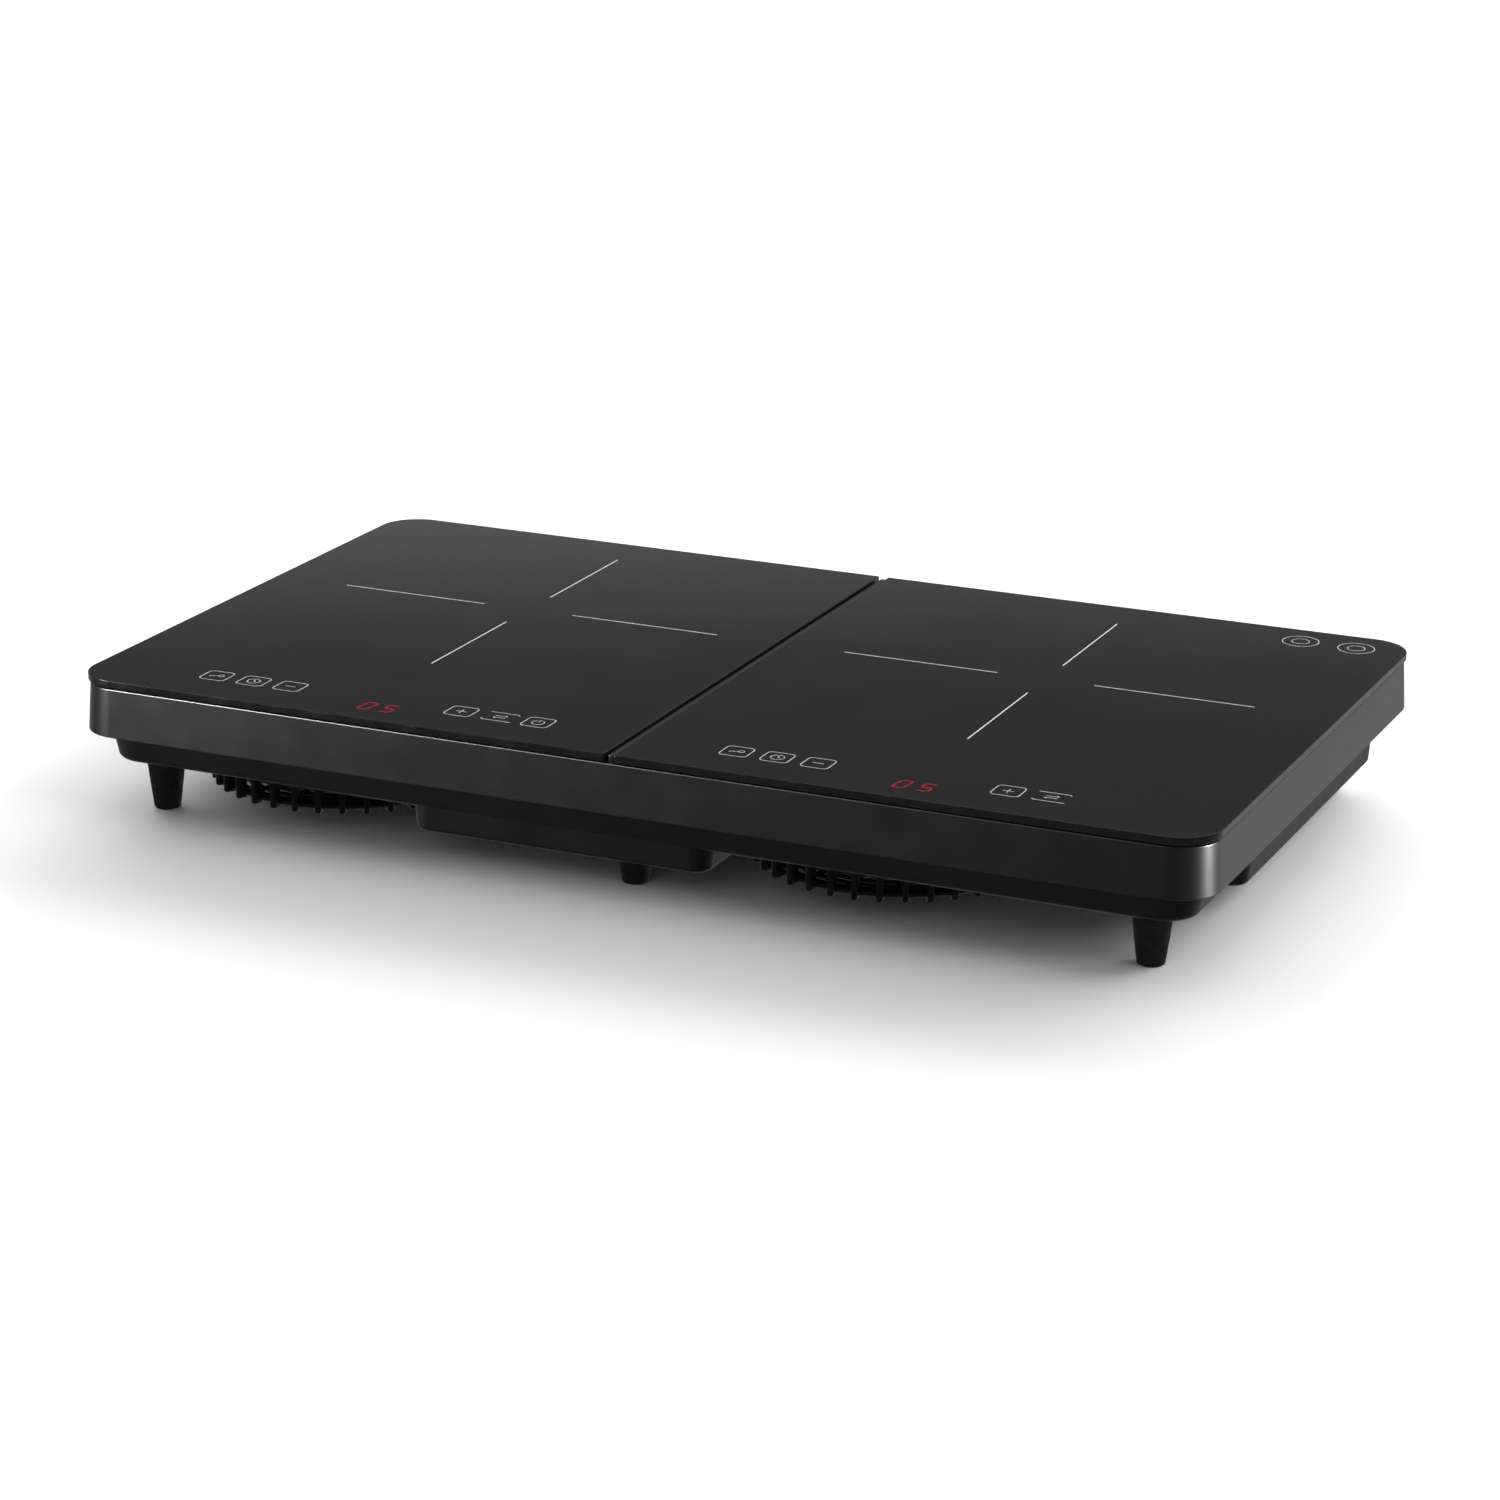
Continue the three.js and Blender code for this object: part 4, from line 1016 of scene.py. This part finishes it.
def pan_sensor(side):
    """Silicone cup with folded walls over a thermistor, and its two leads."""
    zone, board, box = ZONE[side], POWER[side], Box(f"pan_sensor_{side}")
    low, top = box.low, box.high - box.low
    profile = [(0, 0), (8.6, 0), (9, 0.6), (9, 2), (7.6, 2.8), (8.8, 3.6), (8.8, 4.4), (7.4, 5.2), (6.6, 6.4),
               (6.5, top - 0.8), (5.9, top - 0.1), (4.2, top), (3.6, top - 0.5), (0, top - 0.5)]
    cup = make(f"sensor_cup_{side}", turned(profile, zone.x, zone.y, low=low))
    finish(cup, SEAL_RUBBER, "silicone", f"pan_sensor_{side}", angle=50)
    routes = []
    for shift in (-1.2, 1.2):
        x, plug = zone.x + shift, board.x + 38 + shift
        routes.append([(x, zone.y, low + 1), (x, zone.y, low - 9), (x - 8, zone.y + 18, low - 14),
                       (plug, board.back - 22, low - 22), (plug, board.back - 16, board.high + 4)])
    wires(f"sensor_leads_{side}", WIRE_NEUTRAL, *routes, radius=0.6, steps=8, sides=8)


for side in SIDES:
    work_coil(side)
    coil_carrier(side)
    pan_sensor(side)
    refined(f"ferrite_star_{side}", f"ferrite_bars_{side}", FERRITE, "ferrite", 0.5)
    refined(f"insulating_sheet_{side}", f"mica_sheet_{side}", MICA, "mica", 0.15)


# ---------------- fans
BLADES = 7
BLADE_STATIONS = 9
BLADE_TIP = 56.6
HUB_RADIUS = 19
HUB_LOW = 35.5


def airfoil(chord, thickness, camber, steps=7):
    """Closed section from leading edge to trailing edge and back, as (along, up) points."""
    points = []
    for surface in (1, -1):
        for step in range(steps + 1) if surface > 0 else range(steps - 1, 0, -1):
            t = (1 - cos(pi * step / steps)) / 2
            bow = camber * 4 * t * (1 - t)
            half = thickness * (1.4 * sqrt(t) - 1.4 * t * t * 0.75 - 0.35 * t) + 0.12
            points.append(((t - 0.5) * chord, bow + surface * half))
    return points


def fan_blade(middle):
    """Twisted blade whose chord and pitch change from hub to tip."""
    root, tip = HUB_RADIUS - 1.5, BLADE_TIP - 0.4
    rings = []
    for along in np.linspace(0, 1, BLADE_STATIONS):
        radius = root + (tip - root) * along
        c, s = polar(1, 42 - 17 * along)
        ring = []
        for u, v in airfoil(13 + 11 * along, 1.1, 1.1):
            side = u * c - v * s
            ring.append((sqrt(radius**2 - side**2), side, middle - 0.6 + u * s + v * c))
        rings.append(ring)
    return skin(rings)


def fan_rotor(side):
    box = Box(f"fan_rotor_{side}")
    low, high = HUB_LOW, box.high
    hub = turned([(1.5, box.low), (1.5, low + 0.3), (6, low + 0.3), (6.6, low), (HUB_RADIUS - 1.6, low),
                  (HUB_RADIUS, low + 1.2), (HUB_RADIUS, high - 2), (HUB_RADIUS - 0.6, high - 0.8),
                  (HUB_RADIUS - 2, high), (9, high), (8.4, high - 0.5), (0, high - 0.5)], segments=72)
    rotor = make(f"fan_wheel_{side}", hub)
    add(rotor, around(fan_blade((low + high) / 2), BLADES))
    carry(rotor, FAN[side])
    finish(rotor, FAN_PLASTIC, "fan", f"fan_rotor_{side}", body=f"rotor_{side}", angle=40)


def fan_frame(side):
    """Round duct with ribs, four spokes, a motor cup and screw ears."""
    fan = FAN[side]
    low, high = fan.low, fan.high
    bands = [hoop(58.6, 62.8, z - 0.6, z + 0.6, 0.3, 120) for z in (low + 6, high - 3)]
    profile = [(0, 0), (17, 0), (18, 1), (17.4, 4), (16.2, 4.3), (15.4, 3.4), (0, 3.4)]
    cup = turned(profile, segments=64, low=low)
    spoke = brick(10, 59.5, -2.5, 2.5, low, low + 3, 0.6)
    ear = brick(60, 73, -5, 5, low, low + 3, corner=3)
    web = brick(61, 70, -0.8, 0.8, low + 2, low + 10, 0.3)
    duct = make(f"fan_duct_{side}", hoop(58.4, 62, low, high, 0.5, 120))
    add(duct, bands, [cup], around(spoke, 4), around(ear, 4, 45), around(web, 4, 45))
    holes = around(rod(2, low - 1, low + 12, 68, segments=20), 4, 45)
    cut(duct, holes, [rod(1.9, low + 0.6, low + 10)])
    carry(duct, fan)
    finish(duct, FAN_PLASTIC, "fan", f"fan_frame_{side}", angle=36)


for side in SIDES:
    fan_rotor(side)
    fan_frame(side)


# ---------------- power boards
CHIPS = (  # drivers on a power board: place from its middle and front edge, then size
    (62, 20, 12, 7, 2.2), (62, 36, 9, 9, 1.8), (84, 24, 7, 5, 1.6), (88, 40, 6, 4, 1.5), (46, 60, 8, 5, 1.6),
)
CANS = ((96, 70), (84, 84), (98, 88))  # small capacitors
TOROID = 10.75  # middle radius of the choke's core
TOROID_HALF = (3.0, 5.4)  # half width and half height of its section
CHOKE_TURNS = 12
PIN_TAIL = 2.2  # how far a pin reaches below the top of its board


def pin_row(middle, y, count, pitch, top, height, radius=0.45):
    """Solder pins through a board, with tapered tails."""
    low = top - PIN_TAIL
    profile = [(radius * 0.6, low), (radius, low + 0.4), (radius, top + height)]
    return [turned(profile, x, y, 10) for x in row(middle, count, pitch)]


def small_parts(side):
    """Drivers, resistors, small capacitors, plug headers and solder pins on the power board."""
    board = POWER[side]
    x, y, top, back = board.x, board.front, board.high, board.back
    chips = [brick(x + dx, x + dx + width, y + dy, y + dy + depth, top, top + height, 0.25, 0.4)
             for dx, dy, width, depth, height in CHIPS]
    finish(make(f"driver_chips_{side}", *chips), EPOXY, "package")
    body = [(0.7, 0), (1.25, 0.5), (1.05, 1.4), (1.05, 4.2), (1.25, 5.1), (0.7, 5.6)]
    can = [(4, 0), (4.4, 0.5), (4.4, 9), (3.8, 9.6), (2.6, 9.3)]
    parts = [turned(body, x - 100 + i * 5.2, y + 26 + 3 * (i % 2), 16, low=top + 0.6) for i in range(7)]
    parts += [turned(can, x + dx, y + dy, 32, low=top) for dx, dy in CANS]
    finish(make(f"resistors_{side}", *parts), CERAMIC, "capacitor")
    headers = (brick(x + 34, x + 52, back - 20, back - 12, top, top + 7),
               brick(x - 92, x - 62, back - 19, back - 9, top, top + 3))
    finish(make(f"plug_headers_{side}", *headers), CARRIER_PLASTIC, "terminal")
    pins = pin_row(x + 43, back - 16, 5, 3, top, 8.4)
    pins += pin_row(x - 35, y + 16, 3, 5.4, top, 3.2, 0.6)
    pins += pin_row(x + 5, y + 16, 4, 3.6, top, 3.2, 0.6)
    finish(make(f"board_pins_{side}", *pins), TINNED, "steel")


def filter_choke(side):
    """Toroid with two windings of enamelled wire."""
    box = Box(f"filter_choke_{side}")
    out, up = TOROID_HALF

    def on_toroid(angle, u, v):
        x, y = polar(TOROID + u, angle)
        return box.x + x, box.y + y, box.z + v

    section = outline((-out, out, -up, up), (1.4,) * 4, 4)
    core = [[on_toroid(5 * i, u, v) for u, v in section] for i in range(72)]
    finish(make(f"choke_core_{side}", skin(core, closed=True)), FERRITE, "ferrite", angle=50)
    windings = []
    steps = CHOKE_TURNS * 16
    for start in (20, 200):
        path = []
        for i in range(steps + 1):
            c, s = polar(1, 360 * i / 16)
            path.append(on_toroid(start + 140 * i / steps, (out + 0.75) * c, (up + 0.75) * s))
        windings.append(tube(path, 0.55, 8))
    finish(make(f"choke_winding_{side}", *windings), COIL_COPPER, "winding", f"filter_choke_{side}", angle=60)


for side in SIDES:
    refined(f"power_board_{side}", f"power_circuit_{side}", BOARD, "board", 0.1)
    refined(f"heat_sink_{side}", f"cooling_fins_{side}", ALUMINIUM, "heat_sink", 0.25)
    for part in ("igbt", "bridge_rectifier"):
        refined(f"{part}_{side}", f"{part}_body_{side}", EPOXY, "package", 0.5)
    for part in ("resonant_capacitor", "smoothing_capacitor"):
        refined(f"{part}_{side}", f"{part}_case_{side}", FILM_CASE, "capacitor", 0.5)
    filter_choke(side)
    small_parts(side)


# ---------------- touch boards, displays and wiring
SPRING_WIRE = 0.32
SPRING_TURNS = 5
BOARD_THICKNESS = 1.6
MAINS = {  # look of each wire and its place in the terminal block
    "live": (WIRE_LIVE, -1), "neutral": (WIRE_NEUTRAL, 1), "earth": (WIRE_EARTH, 0),
}


def key_springs(side):
    """Contact springs that press on the underside of the glass under each key."""
    board = TOUCH[side]
    low, high = board.low + BOARD_THICKNESS + SPRING_WIRE, board.high - 0.1 - SPRING_WIRE
    springs = []
    for kind, x in key_places(side):
        path = []
        for t in np.linspace(0, 1, SPRING_TURNS * 20 + 1):
            dx, dy = polar(3.6 - 0.5 * sin(pi * t), 360 * SPRING_TURNS * t)
            path.append((x + dx, KEY_Y + dy, low + (high - low) * t))
        springs.append(tube(path, SPRING_WIRE, 7))
    finish(make(f"key_springs_{side}", *springs), TINNED, "steel", angle=60)


def touch_board(side):
    board = TOUCH[side]
    low, top = board.low, board.low + BOARD_THICKNESS
    circuit = make(f"touch_circuit_{side}", brick(*board.rect, low, top, 0.15, 2))
    holes = [rod(1.7, low - 1, low + 3, x, board.y + 16, 20) for x in (board.left + 5, board.right - 5)]
    cut(circuit, holes)
    finish(circuit, BOARD, "board", f"touch_board_{side}")
    pads = [rod(4.6, top - 0.1, top + 0.08, x, KEY_Y, 32) for kind, x in key_places(side)]
    finish(make(f"key_pads_{side}", *pads), TINNED, "steel")
    front = board.front + 8
    chips = [brick(x, x + 8, front, front + 7, low - 1.6, low, 0.2, 0.4)
             for x in (board.x - 30, board.x + 34)]
    finish(make(f"touch_chips_{side}", *chips), EPOXY, "package")
    key_springs(side)


def display_module(side):
    """Two numerals under a dark window: a case with a light well behind each bar."""
    box = Box(f"display_module_{side}")
    case = make(f"display_case_{side}", brick(*box.rect, box.low, box.high, 0.3))
    wells = []
    for x in DIGITS.values():
        for points, faces in numeral("0", x + KEY_SHIFT[side], box.y):
            points[:, 2] = np.where(points[:, 2] > PRINT_LOW, box.high + 1, box.high - 2)
            wells.append((points, faces))
    cut(case, wells)
    finish(case, DISPLAY_CASE, "display", f"display_module_{side}")


def ribbon_leads(side):
    """Flat lead from the touch board to the power board."""
    board, touch = POWER[side], TOUCH[side]
    routes = []
    for x in row(touch.right - 19, 5, 1.5):
        routes.append([(x, touch.back - 5, touch.low - 0.5), (x, touch.back - 3, touch.low - 6),
                       (x - 2, touch.back + 14, touch.low - 12), (x - 4, board.front - 12, board.high + 15),
                       (x - 6, board.front + 4, board.high + 9), (x - 6, board.front + 6, board.high + 0.6)])
    wires(f"panel_leads_{side}", CARRIER_PLASTIC, *routes, radius=0.7)


def harness():
    """Mains wiring from the inlet to the terminal block, and on to both boards."""
    front, back, top = BLOCK.front, BLOCK.back, BLOCK.high
    for name, (look, shift) in MAINS.items():
        x = BLOCK.x + shift * BLOCK.width / 3
        runs = [[(shift * 1.9, GLAND.front - 1, GLAND.z), (shift * 4, GLAND.front - 12, GLAND.z + 2),
                 (x, back + 14, top + 3), (x, back + 3, top + 2), (x, back - 6, top - 2)]]
        lift = 5 + 3.2 * shift
        for side, sign in (("left", -1), ("right", 1)):
            board = POWER[side]
            end = board.right - 8 if side == "left" else board.left + 8
            runs.append([(x, front + 5, top - 2), (x, front - 4, top + 3),
                         (x + sign * 6, front - 16 - 4 * shift, top + lift),
                         ((x + end) / 2, front - 22 - 4 * shift, board.high + lift + 6),
                         (end, front - 18 - 6 * shift, board.high + 7),
                         (end, front - 18 - 6 * shift, board.high + 0.8)])
        wires(f"mains_{name}", look, *runs)


def terminal_block():
    low, high = BLOCK.low + 7, BLOCK.high - 3.2
    head = [(0, low), (2.8, low), (2.8, high - 0.8), (2.3, high), (0, high)]
    places = row(BLOCK.x, 3, BLOCK.width / 3)
    screws = make("terminal_screws", *(turned(head, x, BLOCK.y, 28) for x in places))
    cuts = [brick(x - 2.2, x + 2.2, BLOCK.y - 0.45, BLOCK.y + 0.45, high - 1, BLOCK.high, 0.1, 0.2)
            for x in places]
    cut(screws, cuts)
    finish(screws, SCREW_STEEL, "steel")
    refined("terminal_block", "terminal_body", CERAMIC, "terminal", 0.5)


for side in SIDES:
    touch_board(side)
    display_module(side)
    ribbon_leads(side)
harness()
terminal_block()


# ---------------- studio
CAMERA = {"place": (0.8370, -1.9182, 0.7027), "heading": 23.64, "tilt": 17.94, "roll": 0.586, "lens": 102.2}
PAPER = (0.93, 0.93, 0.93)
SKY = (  # height of a direction, from 0 straight down to 1 straight up, and its brightness
    (0.0, 0.74), (0.02, 0.5), (0.25, 0.42), (0.28, 0.1), (0.36, 0.1), (0.5, 0.85), (0.75, 1.1), (0.95, 1.1),
)
SKY_SIDES = (0.38, 1.0)  # strength of the sky in front of the object and behind it
SKY_TURN = (-0.2, 0.9)  # how far back a direction points where that strength changes
BACK = (0, 1, 0)
KEY_LIGHTS = {  # heading from straight behind, height and spread in degrees, then power
    "back": (0, 18, 40, 3.0), "back_left": (35, 18, 40, 1.9), "back_right": (-35, 18, 40, 1.8),
    "side_left": (80, 26, 40, 0.5), "side_right": (-95, 42, 40, 0.65), "front": (180, 18, 40, 0.2),
}
SHELL = ["top_housing"]
OUTSIDE = [*SHELL, "glass_pane_left", "glass_pane_right", "base_pan"]
SOFTBOXES = {  # place, target, size and power of each strip light, and the pieces that it lights
    "corner_strip": ((1.84, 0.17, 0.16), (0.28, -0.16, 0.06), (0.34, 0.3), 480, SHELL),
    "left_strip": ((-1.5, -1.3, 0.3), (-0.25, -0.17, 0.05), (0.6, 0.6), 135, OUTSIDE),
    "rim_strip": ((-1.1, -1.2, 0.81), (-0.25, -0.17, 0.06), (0.4, 0.4), 260, SHELL),
}


def studio_floor():
    work = bmesh.new()
    bmesh.ops.create_grid(work, x_segments=8, y_segments=8, size=14)
    floor = placed("studio_floor", store(work, bpy.data.meshes.new("studio_floor")))
    floor.location.z = CAD_BOX[0][2]
    look = Look("studio_paper", PAPER, 0.9, Specular_IOR_Level=0)
    look.tint(look.noise(900, 2), PAPER, (0.935, 0.935, 0.935))
    floor.data.materials.append(look.material)
    floor.visible_glossy = False


def studio_sky():
    """Soft dome that is brighter from behind the object and stays dark just above the horizon."""
    world = bpy.data.worlds.new("studio_sky")
    world.use_nodes = True
    bpy.context.scene.world = world
    tree = world.node_tree
    nodes, link = tree.nodes, tree.links.new
    ray = nodes.new("ShaderNodeTexCoord").outputs["Generated"]
    split = nodes.new("ShaderNodeSeparateXYZ")
    link(ray, split.inputs["Vector"])
    stops = [(height, (level,) * 3) for height, level in SKY]
    link(ramp(tree, split.outputs["Z"], stops), nodes["Background"].inputs["Color"])
    toward = nodes.new("ShaderNodeVectorMath")
    toward.operation = "DOT_PRODUCT"
    toward.inputs[1].default_value = BACK
    link(ray, toward.inputs[0])
    strength = nodes.new("ShaderNodeMapRange")
    strength.interpolation_type = "SMOOTHSTEP"
    feed(strength, From_Min=SKY_TURN[0], From_Max=SKY_TURN[1], To_Min=SKY_SIDES[0], To_Max=SKY_SIDES[1])
    link(toward.outputs["Value"], strength.inputs["Value"])
    link(strength.outputs["Result"], nodes["Background"].inputs["Strength"])


def lamp(name, kind, power):
    light = bpy.data.lights.new(name, kind)
    light.energy = power
    return placed(name, light)


def key_light(name, heading, height, spread, power):
    """Broad low light that shades the object and the floor; it doesn't show in the glass."""
    sun = lamp(f"key_{name}", "SUN", power)
    sun.data.angle = radians(spread)
    sun.rotation_euler = (radians(height - 90), 0, radians(heading))
    sun.visible_glossy = False


def softbox(name, place, target, size, power, pieces):
    """Rectangular light that shows only as a gloss on the named pieces."""
    box = lamp(name, "AREA", power)
    box.data.shape = "RECTANGLE"
    box.data.size, box.data.size_y = size
    away = Vector(place) - Vector(target)
    box.matrix_world = Matrix.Translation(place) @ away.to_track_quat("Z", "Y").to_matrix().to_4x4()
    box.visible_camera = False
    box.visible_diffuse = False
    receivers = bpy.data.collections.new(f"{name}_pieces")
    for piece in pieces:
        receivers.objects.link(bpy.data.objects[piece])
    box.light_linking.receiver_collection = receivers


def studio_camera():
    camera = bpy.data.cameras.new("camera")
    camera.lens = CAMERA["lens"]
    camera.sensor_width = 36
    camera.clip_end = 100
    eye = placed("camera", camera)
    heading, tilt, roll = (radians(CAMERA[name]) for name in ("heading", "tilt", "roll"))
    eye.matrix_world = (
        Matrix.Translation(CAMERA["place"]) @ Matrix.Rotation(heading, 4, "Z")
        @ Matrix.Rotation(pi / 2 - tilt, 4, "X") @ Matrix.Rotation(roll, 4, "Z")
    )
    bpy.context.scene.camera = eye


studio_floor()
studio_sky()
for name, values in KEY_LIGHTS.items():
    key_light(name, *values)
for name, values in SOFTBOXES.items():
    softbox(name, *values)
studio_camera()
bpy.context.scene.view_settings.view_transform = "Standard"
